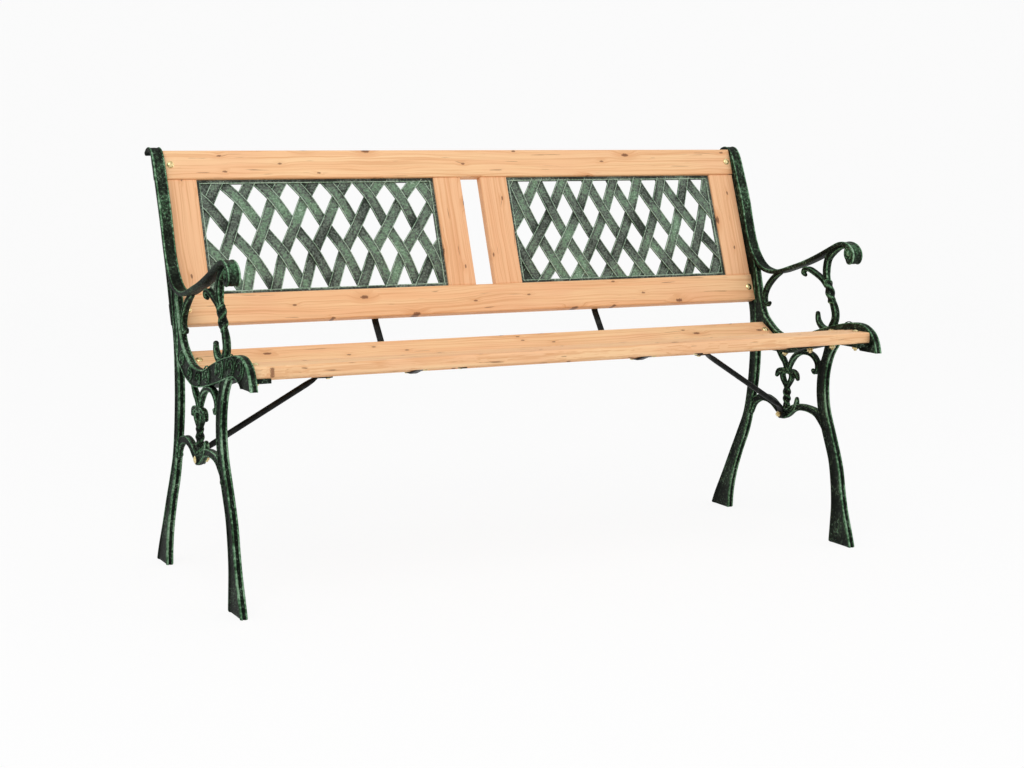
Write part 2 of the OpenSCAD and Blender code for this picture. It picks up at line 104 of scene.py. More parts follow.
def headings(curve: np.ndarray) -> np.ndarray:
    """Gives the direction of a curve at each of its points.

    Args:
        curve: The curve's points, one row each.

    Returns:
        A direction of length one for each point.
    """
    ahead = np.vstack([curve[1:], curve[-1:]])
    behind = np.vstack([curve[:1], curve[:-1]])
    return unit(ahead - behind)


def beside(curve: np.ndarray, offset: np.ndarray | float) -> np.ndarray:
    """Moves a flat curve to its left.

    Args:
        curve: The curve's points, one row each.
        offset: How far to the left, for all or for each point.

    Returns:
        The moved points.
    """
    h = headings(curve)
    left = np.stack([-h[:, 1], h[:, 0]], axis=1)
    return curve + left * np.reshape(offset, (-1, 1))


class Shell:
    """One piece in the making: closed lofted surfaces with values for the finish at each point."""

    def __init__(self) -> None:
        """Starts with no surface."""
        self.points: list[np.ndarray] = []
        self.wear: list[np.ndarray] = []
        self.grain: list[np.ndarray] = []
        self.faces: list[tuple[int, ...]] = []
        self.count = 0

    def loft(self, rings: np.ndarray, wear: np.ndarray | float = 0.5,
             grain: np.ndarray | None = None, looped: bool = False) -> None:
        """Adds a surface through a row of rings, closed at its ends.

        Args:
            rings: Points of each ring, in an array of rings by points by three.
            wear: How rubbed paint is, or how rosy timber is, from 0 to a little over 1; on painted castings
                values near 1 and over reach the palest colour, which is partly painted highlight, and on the
                lattice it is also lowered as painted shade where a bar passes under another.
                It is for all, for each point round, or for each point.
            grain: The place of each point in the timber, along, across and deep.
            looped: Whether the last ring joins the first, so that no end needs closing.
        """
        stations, around, _ = rings.shape
        base = self.count
        self.points.append(rings.reshape(-1, 3))
        self.wear.append(np.broadcast_to(wear, (stations, around)).reshape(-1))
        self.grain.append((rings if grain is None else grain).reshape(-1, 3))
        self.count += stations * around
        for s in range(stations if looped else stations - 1):
            a, b = base + s * around, base + (s + 1) % stations * around
            for k in range(around):
                n = (k + 1) % around
                self.faces.append((a + k, a + n, b + n, b + k))
        if not looped:
            self.faces.append(tuple(base + k for k in reversed(range(around))))
            self.faces.append(tuple(base + (stations - 1) * around + k for k in range(around)))

    def piece(self, name: str, mirrored: bool = False) -> bpy.types.Object:
        """Makes the object.

        Args:
            name: The object's name.
            mirrored: Whether X changes sign.

        Returns:
            The new object, linked to the scene.
        """
        points = np.vstack(self.points)
        faces = self.faces
        if mirrored:
            points = points * (-1, 1, 1)
            faces = [tuple(reversed(f)) for f in faces]
        mesh = bpy.data.meshes.new(name)
        mesh.from_pydata(points.tolist(), [], faces)
        mesh.attributes.new("wear", "FLOAT", "POINT").data.foreach_set("value", np.concatenate(self.wear))
        mesh.attributes.new("grain", "FLOAT_VECTOR", "POINT").data.foreach_set(
            "vector", np.vstack(self.grain).reshape(-1))
        mesh.update()
        repair_winding(mesh)
        mesh.polygons.foreach_set("use_smooth", [True] * len(mesh.polygons))
        mesh.set_sharp_from_angle(angle=math.radians(48))
        made = bpy.data.objects.new(name, mesh)
        bpy.context.scene.collection.objects.link(made)
        return made


def repair_winding(mesh: bpy.types.Mesh) -> None:
    """Turns every face outward.

    Args:
        mesh: The mesh to mend.
    """
    bm = bmesh.new()
    bm.from_mesh(mesh)
    bmesh.ops.recalc_face_normals(bm, faces=bm.faces)
    bm.to_mesh(mesh)
    bm.free()


@dataclass(frozen=True)
class Place:
    """A flat piece's own axes and middle, in the bench's frame."""

    middle: Vector
    along: Vector
    across: Vector
    up: Vector

    def at(self, local: np.ndarray) -> np.ndarray:
        """Carries points from the piece's axes into the bench's frame."""
        axes = np.array([self.along, self.across, self.up])
        return local @ axes + np.array(self.middle)

    def moved(self, along: float = 0.0, across: float = 0.0, up: float = 0.0) -> "Place":
        """Gives the same axes at another middle."""
        shift = self.along * along + self.across * across + self.up * up
        return Place(self.middle + shift, self.along, self.across, self.up)


def sweep(shell: Shell, path: Sequence[Vector], width_way: Sequence[Vector],
          halves: Sequence[Point], squareness: Sequence[float], wear: float = 0.5) -> None:
    """Adds a bar of changing section along a path.

    Args:
        shell: The piece to add it to.
        path: The points of its middle line.
        width_way: The direction of its width at each point.
        halves: Half its width and half its thickness at each point.
        squareness: 2 for a round section, and more for a squarer one, at each point.
        wear: How rubbed its finish is.
    """
    line, wide = np.array(path), unit(np.array(width_way))
    ahead = np.vstack([line[1:], line[-1:]]) - np.vstack([line[:1], line[:-1]])
    deep = unit(np.cross(unit(ahead), wide))
    turn = np.linspace(0, 2 * math.pi, 24, endpoint=False)
    power = 2 / np.array(squareness)[:, None]
    across = np.sign(np.cos(turn)) * np.abs(np.cos(turn)) ** power * np.array(halves)[:, :1]
    up = np.sign(np.sin(turn)) * np.abs(np.sin(turn)) ** power * np.array(halves)[:, 1:]
    shell.loft(line[:, None] + across[:, :, None] * wide[:, None] + up[:, :, None] * deep[:, None], wear)


def lathe(shell: Shell, place: Place, profile: Sequence[tuple[float, float | np.ndarray]],
          around: int = 24, looped: bool = False) -> None:
    """Adds a turned shape about the up axis of a place.

    Args:
        shell: The piece to add it to.
        place: Where it stands.
        profile: Its rings, as height and radius in millimetres; a radius may differ round the ring.
        around: Points round each ring.
        looped: Whether the profile closes on itself, as round a hole.
    """
    turn = np.linspace(0, 2 * math.pi, around, endpoint=False)
    local = np.zeros((len(profile), around, 3))
    for k, (height, radius) in enumerate(profile):
        local[k, :, 0] = radius * np.cos(turn)
        local[k, :, 1] = radius * np.sin(turn)
        local[k, :, 2] = height
    shell.loft(place.at(local.reshape(-1, 3) * MM).reshape(local.shape), looped=looped)


def middle_of(node: str) -> Vector:
    """Gives the middle of a node's box."""
    low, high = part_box(node)
    return (low + high) / 2


def hand_over(piece: bpy.types.Object, node: str, material: bpy.types.Material) -> None:
    """Dresses a piece and puts it in a node's place on the bench.

    Args:
        piece: The piece.
        node: The node that it stands for.
        material: The piece's finish.
    """
    piece.data.materials.clear()
    piece.data.materials.append(material)
    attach(piece, "root")
    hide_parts(node)
    LOG.info("%s stands for %s with %d faces", piece.name, node, len(piece.data.polygons))


# ---------------------------------------------------------------- shader arithmetic


class Signal:
    """A value that flows through a shader; arithmetic on it adds Math nodes."""

    def __init__(self, net: "Net", socket: bpy.types.NodeSocket) -> None:
        """Wraps a socket.

        Args:
            net: The net that the socket belongs to.
            socket: The output socket.
        """
        self.net = net
        self.socket = socket

    def _math(self, operation: str, *values: "Signal | float") -> "Signal":
        """Adds one Math node."""
        return self.net.node("ShaderNodeMath", {"operation": operation}, dict(enumerate(values)))

    def __add__(self, other: "Signal | float") -> "Signal":
        """Sum."""
        return self._math("ADD", self, other)

    def __radd__(self, other: float) -> "Signal":
        """Sum, from the right."""
        return self._math("ADD", other, self)

    def __sub__(self, other: "Signal | float") -> "Signal":
        """Difference."""
        return self._math("SUBTRACT", self, other)

    def __rsub__(self, other: float) -> "Signal":
        """Difference, from the right."""
        return self._math("SUBTRACT", other, self)

    def __mul__(self, other: "Signal | float") -> "Signal":
        """Product."""
        return self._math("MULTIPLY", self, other)

    def __rmul__(self, other: float) -> "Signal":
        """Product, from the right."""
        return self._math("MULTIPLY", other, self)

    def above(self, low: float, high: float) -> "Signal":
        """Rises smoothly from 0 at low to 1 at high."""
        return self.net.node("ShaderNodeMapRange", {"interpolation_type": "SMOOTHSTEP"},
                             {"Value": self, "From Min": low, "From Max": high})


class Net:
    """The node tree of a material, or of the world."""

    def __init__(self, owner: bpy.types.Material | bpy.types.World) -> None:
        """Empties the owner's tree.

        Args:
            owner: The material or world that the tree belongs to.
        """
        self.owner = owner
        owner.use_nodes = True
        self.tree = owner.node_tree
        self.tree.nodes.clear()

    def node(self, kind: str, settings: dict, sockets: dict, out: int | str = 0) -> Signal:
        """Adds a node.

        Args:
            kind: The node's type.
            settings: Properties, which are set first.
            sockets: Values or signals for its inputs, by index or name.
            out: The output to return.

        Returns:
            The chosen output as a signal.
        """
        made = self.tree.nodes.new(kind)
        for key, value in settings.items():
            setattr(made, key, value)
        for key, value in sockets.items():
            if isinstance(value, Signal):
                self.tree.links.new(value.socket, made.inputs[key])
            else:
                made.inputs[key].default_value = value
        return Signal(self, made.outputs[out])

    def attribute(self, name: str, out: str = "Fac") -> Signal:
        """Reads a value stored on the mesh."""
        return self.node("ShaderNodeAttribute", {"attribute_name": name}, {}, out)

    def stretched(self, vector: Signal, factors: Point) -> Signal:
        """Scales a vector by a factor for each axis."""
        return self.node("ShaderNodeVectorMath", {"operation": "MULTIPLY"}, {0: vector, 1: factors})

    def noise(self, vector: Signal, scale: float, detail: float = 3.0, rough: float = 0.55) -> Signal:
        """Adds soft noise, from 0 to 1."""
        return self.node("ShaderNodeTexNoise", {}, {
            "Vector": vector, "Scale": scale, "Detail": detail, "Roughness": rough})

    def mix(self, factor: Signal | float, a: Signal | Point, b: Signal | Point) -> Signal:
        """Mixes two colours."""
        return self.node("ShaderNodeMix", {"data_type": "RGBA"}, {0: factor, 6: a, 7: b}, 2)

    def bump(self, height: Signal, strength: float, depth: float) -> Signal:
        """Turns a height into a normal."""
        return self.node("ShaderNodeBump", {}, {"Strength": strength, "Distance": depth, "Height": height})

    def surface(self, sockets: dict) -> bpy.types.Material:
        """Ends the material with a principled surface.

        Args:
            sockets: Values or signals for the surface's inputs.

        Returns:
            The finished material.
        """
        self.end(self.node("ShaderNodeBsdfPrincipled", {}, sockets), "ShaderNodeOutputMaterial")
        return self.owner

    def end(self, shade: Signal, kind: str) -> None:
        """Leads a shader to an output node of the given type."""
        output = self.tree.nodes.new(kind)
        self.tree.links.new(shade.socket, output.inputs["Surface"])

    def backdrop_seen(self) -> Signal:
        """Tells whether the camera, a reflection or a refraction looks at the surface.

        Returns:
            1 where one of them does, and 0 elsewhere.
        """
        rays = ("Is Camera Ray", "Is Glossy Ray", "Is Transmission Ray")
        camera, glossy, through = (self.node("ShaderNodeLightPath", {}, {}, ray) for ray in rays)
        return (camera + glossy + through).above(0.0, 1.0)


# ---------------------------------------------------------------- finishes


@dataclass(frozen=True)
class CastPaint:
    """Dark paint on rough iron, brushed with light green where the casting stands proud; its palest colour on
    the most rubbed edges is partly painted highlight.
    """

    name: str
    dark: Point = (0.003, 0.005, 0.003, 1)
    murk: Point = (0.022, 0.033, 0.021, 1)
    green: Point = (0.060, 0.175, 0.075, 1)
    pale: Point = (0.330, 0.500, 0.345, 1)
    murk_from: float = 0.38
    green_from: float = 0.68
    pale_from: float = 0.90
    worn: float = 0.78
    blotch: float = 1.2
    mottle: float = 1.7
    speckle: float = 0.55
    gloss: float = 0.05
    blotch_scale: float = 17.0
    mottle_scale: float = 210.0

    def material(self) -> bpy.types.Material:
        """Builds the material.

        Returns:
            The finished material.
        """
        net = Net(bpy.data.materials.new(self.name))
        place = net.attribute("grain", "Vector")
        wear = net.attribute("wear")
        blotch = net.noise(place, self.blotch_scale, 3.0, 0.6)
        mottle = net.noise(place, self.mottle_scale, 4.0, 0.7)
        drag = net.noise(net.stretched(place, (300.0, 300.0, 110.0)), 1.0, 3.0, 0.6)
        pits = net.noise(place, 700.0, 2.0)
        rough = mottle * 0.6 + drag * 0.4
        rub_and_painted_light = wear * self.worn + (blotch - 0.5) * self.blotch + (rough - 0.5) * self.mottle + 0.10
        colour = net.mix(rub_and_painted_light.above(self.murk_from - 0.22, self.murk_from + 0.22), self.dark, self.murk)
        colour = net.mix(rub_and_painted_light.above(self.green_from - 0.20, self.green_from + 0.22), colour, self.green)
        # Palest colour where the value is highest: partly rubbed paint, partly painted highlight along edges
        # and beads.
        colour = net.mix(rub_and_painted_light.above(self.pale_from - 0.20, self.pale_from + 0.28), colour, self.pale)
        chips = (pits - 0.5) * 0.9 + mottle
        colour = net.mix(chips.above(0.60, 0.74) * self.speckle * blotch.above(0.3, 0.6), colour, self.pale)
        colour = net.mix((1.0 - chips.above(0.30, 0.44)) * 0.6, colour, self.dark)
        height = mottle * 0.45 + pits * 0.45 + drag * 0.2
        return net.surface({
            "Base Color": colour, "Roughness": mottle * 0.30 + 0.38, "Metallic": 0.0,
            "Specular IOR Level": self.gloss, "Normal": net.bump(height, 0.75, 0.0011)})


@dataclass(frozen=True)
class Pine:
    """Oiled softwood with long grain, dark late-wood lines, small knots and short drying cracks."""

    name: str
    light: Point = (0.955, 0.635, 0.350, 1)
    warm: Point = (0.890, 0.480, 0.240, 1)
    deep: Point = (0.700, 0.330, 0.140, 1)
    rosy: Point = (0.890, 0.490, 0.275, 1)
    brown: Point = (0.150, 0.050, 0.018, 1)

    def knots(self, net: Net, place: Signal, cells: Point, keep: float, size: float) -> tuple[Signal, Signal]:
        """Scatters knots.

        Args:
            net: The material's net.
            place: The place in the timber.
            cells: Knots to the metre along and across, before some are dropped.
            keep: Share of the cells that hold a knot.
            size: Knot radius, as a share of a cell.

        Returns:
            The knots themselves and the soft darker halo round them.
        """
        cell = net.stretched(place, (*cells, 0.0))
        kind = {"voronoi_dimensions": "2D", "feature": "F1"}
        reach = net.node("ShaderNodeTexVoronoi", kind, {"Vector": cell, "Scale": 1.0}, "Distance")
        chance = net.node("ShaderNodeTexVoronoi", kind, {"Vector": cell, "Scale": 1.0}, "Color")
        chosen = net.node("ShaderNodeSeparateColor", {}, {0: chance}).above(1 - keep - 0.01, 1 - keep)
        ragged = (net.noise(place, 420.0, 3.0) - 0.5) * size * 1.1 + reach
        knot = (1.0 - ragged.above(size * 0.55, size)) * chosen
        return knot, (1.0 - reach.above(size * 0.8, size * 4.2)) * chosen

    def material(self) -> bpy.types.Material:
        """Builds the material.

        Returns:
            The finished material.
        """
        net = Net(bpy.data.materials.new(self.name))
        place = net.attribute("grain", "Vector")
        tone = net.attribute("wear")
        drift = net.noise(net.stretched(place, (3.2, 12.0, 12.0)), 1.0, 3.0)
        large, halo = self.knots(net, place, (9.0, 21.0), 0.36, 0.085)
        small, ring = self.knots(net, place, (17.0, 38.0), 0.28, 0.085)
        sway = (drift - 0.5) * 0.026 + halo * 0.007 + ring * 0.003
        bend = net.node("ShaderNodeCombineXYZ", {}, {"Y": sway})
        bent = net.node("ShaderNodeVectorMath", {"operation": "ADD"}, {0: place, 1: bend})
        broad = net.noise(net.stretched(bent, (2.4, 75.0, 60.0)), 1.0, 2.0)
        bands = net.noise(net.stretched(bent, (3.0, 260.0, 180.0)), 1.0, 2.0, 0.5)
        lines = net.noise(net.stretched(bent, (4.0, 720.0, 460.0)), 1.0, 2.0, 0.6)
        fibre = net.noise(net.stretched(bent, (38.0, 2100.0, 2100.0)), 1.0, 2.0)
        crack = net.noise(net.stretched(bent, (13.0, 330.0, 330.0)), 1.0, 2.0, 0.4)
        flush = net.noise(net.stretched(place, (5.0, 16.0, 16.0)), 1.0, 2.0)
        colour = net.mix(broad.above(0.36, 0.66) * 0.55, self.light, self.warm)
        colour = net.mix(flush.above(0.46, 0.70) * 0.45, colour, self.rosy)
        colour = net.mix(tone * 0.65, colour, self.rosy)
        colour = net.mix(bands.above(0.50, 0.66) * 0.50, colour, self.deep)
        colour = net.mix(lines.above(0.54, 0.66) * 0.58, colour, self.deep)
        colour = net.mix(fibre.above(0.58, 0.78) * 0.22, colour, self.deep)
        colour = net.mix(halo * 0.40 + ring * 0.22, colour, self.deep)
        colour = net.mix(crack.above(0.705, 0.745) * 0.60, colour, self.brown)
        colour = net.mix(large * 0.82 + small * 0.75, colour, self.brown)
        height = bands * 0.3 + lines * 0.35 + fibre * 0.2 - large * 0.4 - crack.above(0.705, 0.745) * 0.6
        return net.surface({
            "Base Color": colour, "Roughness": bands * 0.16 + 0.48,
            "Specular IOR Level": 0.30, "Normal": net.bump(height, 0.30, 0.0006)})


@dataclass(frozen=True)
class Plating:
    """Yellow zinc plate, dull in soft patches."""

    name: str
    bright: Point = (0.78, 0.66, 0.36, 1)
    dull: Point = (0.42, 0.30, 0.12, 1)

    def material(self) -> bpy.types.Material:
        """Builds the material.

        Returns:
            The finished material.
        """
        net = Net(bpy.data.materials.new(self.name))
        place = net.attribute("grain", "Vector")
        cloud = net.noise(place, 190.0, 3.0)
        scuff = net.noise(place, 900.0, 2.0)
        return net.surface({
            "Base Color": net.mix(cloud.above(0.40, 0.68), self.bright, self.dull),
            "Roughness": scuff * 0.25 + 0.16, "Metallic": 1.0,
            "Normal": net.bump(scuff, 0.12, 0.0003)})


@dataclass(frozen=True)
class BlackPaint:
    """Black satin paint on steel, with a little dust and orange peel."""

    name: str
    black: Point = (0.004, 0.005, 0.004, 1)
    dusty: Point = (0.028, 0.031, 0.028, 1)

    def material(self) -> bpy.types.Material:
        """Builds the material.

        Returns:
            The finished material.
        """
        net = Net(bpy.data.materials.new(self.name))
        place = net.node("ShaderNodeTexCoord", {}, {}, "Object")
        dust = net.noise(place, 70.0, 4.0, 0.6)
        peel = net.noise(place, 800.0, 2.0)
        return net.surface({
            "Base Color": net.mix(dust.above(0.45, 0.75), self.black, self.dusty),
            "Roughness": dust * 0.3 + 0.28, "Specular IOR Level": 0.14,
            "Normal": net.bump(peel, 0.2, 0.0004)})


# ---------------------------------------------------------------- end frames

# A moulding's points go round a bar's section, each as (edge, inset, face, depth, wear). Edge 0 is
# the front or upper edge and 1 the other; face 0 is the inner face and 1 the outer. Inset is in
# from the edge and depth in from the face, both in millimetres; a depth below 0 stands proud.
# Wear near 1 on edges and beads reaches the palest paint, which is partly painted highlight.
LEG_MOULDING = (
    (0, 7.0, 0, 0.8, 0.30), (0, 4.4, 0, 0.0, 0.60), (0, 2.2, 0, 0.0, 0.62), (0, 0.5, 0, 0.7, 0.95),
    (0, 0.0, 0, 1.7, 1.00), (0, 0.0, 0, 3.2, 0.95), (0, 1.8, 0, 4.4, 0.20), (0, 2.4, 0, 6.5, 0.10),
    (0, 1.8, 1, 4.4, 0.20), (0, 0.0, 1, 3.2, 0.95), (0, 0.0, 1, 1.7, 1.00), (0, 0.5, 1, 0.7, 0.90),
    (0, 2.6, 1, 0.0, 0.70), (0, 4.6, 1, 0.0, 0.66), (0, 6.6, 1, 1.6, 0.12), (0, 9.5, 1, 1.9, 0.22),
    (1, 9.5, 1, 1.9, 0.22), (1, 6.6, 1, 1.6, 0.12), (1, 4.6, 1, 0.0, 0.66), (1, 2.6, 1, 0.0, 0.70),
    (1, 0.5, 1, 0.7, 0.80), (1, 0.0, 1, 2.0, 0.70), (1, 0.0, 0, 2.0, 0.50), (1, 0.5, 0, 0.7, 0.60),
    (1, 2.2, 0, 0.0, 0.45), (1, 4.4, 0, 0.0, 0.45), (1, 7.0, 0, 0.8, 0.25),
)
FLANGE_MOULDING = (
    (0, 0.9, 0, 0.2, 0.70), (0, 0.1, 0, 1.0, 0.95), (0, 0.0, 0, 2.2, 1.00), (0, 0.9, 0, 3.8, 0.42),
    (0, 1.1, 0, 6.5, 0.40), (0, 0.8, 0, 11.0, 0.50), (0, 1.1, 1, 6.5, 0.40), (0, 0.9, 1, 3.8, 0.42),
    (0, 0.0, 1, 2.2, 1.00), (0, 0.1, 1, 1.0, 0.95), (0, 0.9, 1, 0.2, 0.70), (0, 3.2, 1, 0.0, 0.35),
    (1, 3.0, 1, 0.0, 0.25), (1, 1.0, 1, 0.4, 0.45), (1, 0.0, 1, 1.6, 0.40), (1, 0.3, 0, 11.0, 0.15),
    (1, 0.0, 0, 1.6, 0.35), (1, 1.0, 0, 0.4, 0.35), (1, 3.0, 0, 0.0, 0.25), (0, 3.2, 0, 0.0, 0.35),
)
BAR_MOULDING = (
    (0, 1.2, 0, 0.0, 0.85), (0, 0.2, 0, 0.9, 0.80), (0, 0.0, 0, 2.4, 0.60), (0, 0.7, 0, 5.5, 0.12),
    (0, 0.0, 1, 2.4, 0.60), (0, 0.2, 1, 0.9, 0.85), (0, 1.2, 1, 0.0, 0.95), (0, 2.3, 1, 0.3, 0.55),
    (0, 3.6, 1, 1.7, 0.08), (1, 3.6, 1, 1.7, 0.08), (1, 2.3, 1, 0.3, 0.55), (1, 1.2, 1, 0.0, 0.95),
    (1, 0.2, 1, 0.9, 0.85), (1, 0.0, 1, 2.4, 0.60), (1, 0.7, 0, 5.5, 0.12), (1, 0.0, 0, 2.4, 0.60),
    (1, 0.2, 0, 0.9, 0.80), (1, 1.2, 0, 0.0, 0.85), (1, 2.3, 0, 0.3, 0.45), (1, 3.6, 0, 1.7, 0.08),
    (0, 3.6, 0, 1.7, 0.08), (0, 2.3, 0, 0.3, 0.45),
)
RIM_MOULDING = (
    (0, 4.6, 0, 0.6, 0.45), (0, 2.4, 0, 0.0, 0.70), (0, 0.6, 0, 0.5, 0.95), (0, 0.0, 0, 1.8, 1.00),
    (0, 0.9, 0, 3.4, 0.35), (0, 1.2, 0, 6.5, 0.25), (0, 0.5, 1, 4.2, 0.45), (0, 0.0, 1, 2.6, 1.00),
    (0, 0.3, 1, 0.9, 1.00), (0, 1.6, 1, -0.6, 1.00), (0, 3.4, 1, -0.5, 0.75), (0, 4.6, 1, 1.3, 0.10),
    (0, 8.5, 1, 2.0, 0.22), (1, 7.0, 1, 2.0, 0.22), (1, 4.0, 1, 1.3, 0.10), (1, 3.0, 1, -0.5, 0.85),
    (1, 1.4, 1, -0.6, 1.00), (1, 0.2, 1, 0.9, 0.95), (1, 0.0, 1, 3.0, 0.40), (1, 0.0, 0, 3.0, 0.20),
    (1, 0.4, 0, 0.8, 0.30), (1, 2.4, 0, 0.0, 0.30), (1, 4.6, 0, 0.6, 0.20),
)


def both_faces(half: Sequence[Point]) -> tuple[Point, ...]:
    """Completes the profile of a turned piece from its inner half, which may end at the middle."""
    return (*half, *((-along, share) for along, share in reversed(half) if along))


# The profiles of turned pieces, as shares of the reach and of the radius.
BUTTON = both_faces(((-1.0, 0.55), (-0.94, 0.78), (-0.72, 0.95), (0, 1.0)))
BALL = both_faces(((-1.0, 0.08), (-0.92, 0.40), (-0.7, 0.71), (-0.38, 0.92), (0, 1.0)))
VOLUTE = both_faces((
    (-1.0, 0.06), (-0.98, 0.22), (-0.82, 0.36), (-0.66, 0.42), (-0.62, 0.50), (-0.80, 0.56),
    (-0.88, 0.64), (-0.80, 0.72), (-0.60, 0.78), (-0.56, 0.86), (-0.70, 0.94), (-0.62, 1.0)))

# How a foot's corners are rounded: share of the way to the leg's next point, and tuck in millimetres.
FOOT_ROUNDING = ((0.0, 3.2), (0.08, 1.5), (0.22, 0.6), (0.45, 0.1))


@dataclass
class EndFrame:
    """A cast end: legs, post, seat rim, arm and the scroll work between them, in millimetres."""

    side: Side
    plate_t: float = 13.0
    flange_w: float = 22.0
    flange_t: float = 8.0
    bar_t: float = 11.0
    ledge_w: float = 28.0
    ledge_t: float = 7.0
    lug_t: float = 8.0
    lug_h: float = 38.0
    boss_d: float = 20.0
    brace_foot: Point = (24, 222)
    rim_flowers: int = 6
    scroll: Point = (-173, 550)
    scroll_d: float = 31.0
    shell: Shell = field(default_factory=Shell)

    spine_front: Sequence[Point] = (
        (205, 0), (202, 36), (190, 81), (170, 128), (149, 170), (132, 224), (119, 282), (115, 333),
        (118, 385), (121, 430), (126, 470), (131, 515), (152, 552), (168, 592), (183, 636),
        (199, 673), (211, 702), (222, 722), (236, 734), (250, 736))
    spine_rear: Sequence[Point] = (
        (269, 0), (256, 27), (229, 74), (204, 120), (178, 167), (156, 211), (144, 270), (139, 331),
        (140, 392), (145, 425), (155, 447), (163, 470), (174, 506), (186, 542), (201, 583),
        (217, 624), (232, 660), (246, 692), (257, 712), (262, 728))
    leg_front: Sequence[Point] = (
        (-207, 0), (-196, 32), (-183, 68), (-174, 104), (-166, 142), (-153, 177), (-137, 213),
        (-121, 251), (-115, 290), (-118, 324), (-131, 358), (-156, 388))
    leg_rear: Sequence[Point] = (
        (-139, 0), (-142, 36), (-144, 75), (-140, 118), (-132, 156), (-117, 191), (-101, 228),
        (-91, 265), (-89, 295), (-93, 326), (-104, 350), (-112, 372))
    rim_top: Sequence[Point] = (
        (-269, 374), (-265, 388), (-258, 402), (-246, 414), (-224, 423), (-196, 424), (-158, 418),
        (-119, 409), (-77, 397), (-43, 385), (-16, 379), (15, 378), (43, 382), (69, 395),
        (92, 413), (104, 436), (114, 468), (124, 504))
    rim_low: Sequence[Point] = (
        (-219, 374), (-212, 380), (-203, 384), (-192, 386), (-175, 387), (-152, 382), (-119, 373),
        (-83, 364), (-38, 354), (-10, 349), (15, 346), (40, 346), (68, 353), (92, 363),
        (116, 380), (128, 400), (138, 440), (150, 500))
    flange: Sequence[Point] = (
        (268, 732), (257, 739), (243, 741), (230, 736), (219, 724), (208, 702), (196, 675),
        (179, 636), (165, 592), (153, 560), (142, 540), (130, 525), (116, 513), (98, 505),
        (70, 502), (38, 507), (5, 516), (-27, 525), (-59, 536), (-90, 548), (-121, 561),
        (-142, 569), (-160, 571), (-177, 567), (-189, 558), (-193, 547), (-190, 536),
        (-182, 530), (-173, 531), (-168, 538))
    ring: Sequence[Sequence[Point]] = (
        ((44, 500, 10), (61, 491, 10), (77, 479, 10), (90, 465, 10), (97, 450, 9), (96, 438, 8),
         (88, 431, 7), (80, 436, 6)),
        ((-158, 564, 11), (-143, 561, 12), (-126, 552, 13), (-111, 539, 13), (-105, 524, 13),
         (-104, 506, 13), (-109, 492, 12)),
        ((-121, 462, 12), (-129, 450, 13), (-135, 436, 13), (-134, 422, 13), (-124, 406, 14),
         (-116, 396, 14)),
        ((-124, 402, 10), (-104, 403, 10), (-91, 408, 9), (-82, 418, 8), (-80, 430, 8)),
        ((-106, 484, 10), (-92, 496, 9), (-72, 505, 9), (-50, 512, 9), (-36, 511, 8),
         (-31, 504, 7), (-37, 500, 6)))
    vine: Sequence[Sequence[Point]] = (
        ((48, 348, 9), (36, 336, 9), (24, 325, 9), (17, 310, 9)),
        ((11, 310, 9), (3, 325, 9), (-9, 339, 9), (-26, 348, 9), (-45, 351, 9), (-62, 350, 9),
         (-75, 344, 9), (-84, 334, 9), (-84, 323, 8), (-77, 316, 8), (-69, 319, 7)),
        ((12, 306, 8), (28, 309, 9), (43, 305, 9), (50, 296, 7)),
        ((18, 306, 8), (0, 309, 9), (-14, 305, 9), (-20, 296, 7)),
        ((15, 308, 8), (28, 304, 8), (30, 296, 8), (24, 286, 8), (15, 276, 9)),
        ((15, 308, 8), (2, 304, 8), (0, 296, 8), (6, 286, 8), (15, 276, 9)),
        ((138, 212, 16), (126, 232, 15), (106, 243, 14), (82, 246, 14), (60, 241, 14), (42, 231, 15),
         (24, 222, 17), (8, 226, 15), (-12, 238, 14), (-36, 243, 13), (-62, 243, 13), (-86, 238, 15),
         (-104, 224, 16), (-116, 208, 14)),
        ((8, 236, 8), (-4, 231, 8), (-14, 238, 8), (-18, 248, 8), (-19, 257, 7)))
    rope: Sequence[Point] = ((15, 285, 13), (15, 277, 17), (15, 262, 19), (15, 248, 18), (15, 234, 16))
    beads: Sequence[Point] = (
        (-108, 497, 13), (-110, 490, 19), (-116, 474, 21), (-122, 459, 19), (-125, 452, 13))

    @property
    def inner(self) -> float:
        """X of the flat inner face of the right-hand end, in millimetres."""
        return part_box("end_frame_right")[1].x / MM - self.flange_w

    def moulded(self, front: np.ndarray, rear: np.ndarray, moulding: Sequence[Point],
                start: float | np.ndarray, thick: float | np.ndarray, foot: bool = False) -> None:
        """Adds a bar between two edges, with a moulded section.

        Args:
            front: The front or upper edge, as depth and height.
            rear: The other edge, with as many points.
            moulding: The section's points.
            start: X of the bar's inner face, for all or for each point.
            thick: The bar's thickness along X.
            foot: Whether the bar's first end stands on the ground, with rounded corners.
        """
        if foot:
            near, tucked = np.array(FOOT_ROUNDING).T
            front, rear = (np.vstack([e[0] + (e[1] - e[0]) * near[:, None], e[1:]]) for e in (front, rear))
            tuck = np.zeros(len(front))
            tuck[:len(tucked)] = tucked
            inward = unit(rear - front) * tuck[:, None]
            front, rear = front + inward, rear - inward
            start, thick = start + tuck * 0.5, thick - tuck
        across = unit(rear - front)
        width = np.linalg.norm(rear - front, axis=1, keepdims=True)
        rings = np.zeros((len(front), len(moulding), 3))
        for k, (edge, inset, face, depth, _) in enumerate(moulding):
            step = np.minimum(inset, width * 0.46)
            rings[:, k, 0] = start + (thick - depth if face else depth)
            rings[:, k, 1:] = rear - across * step if edge else front + across * step
        self.shell.loft(rings * MM, np.array([point[-1] for point in moulding]))

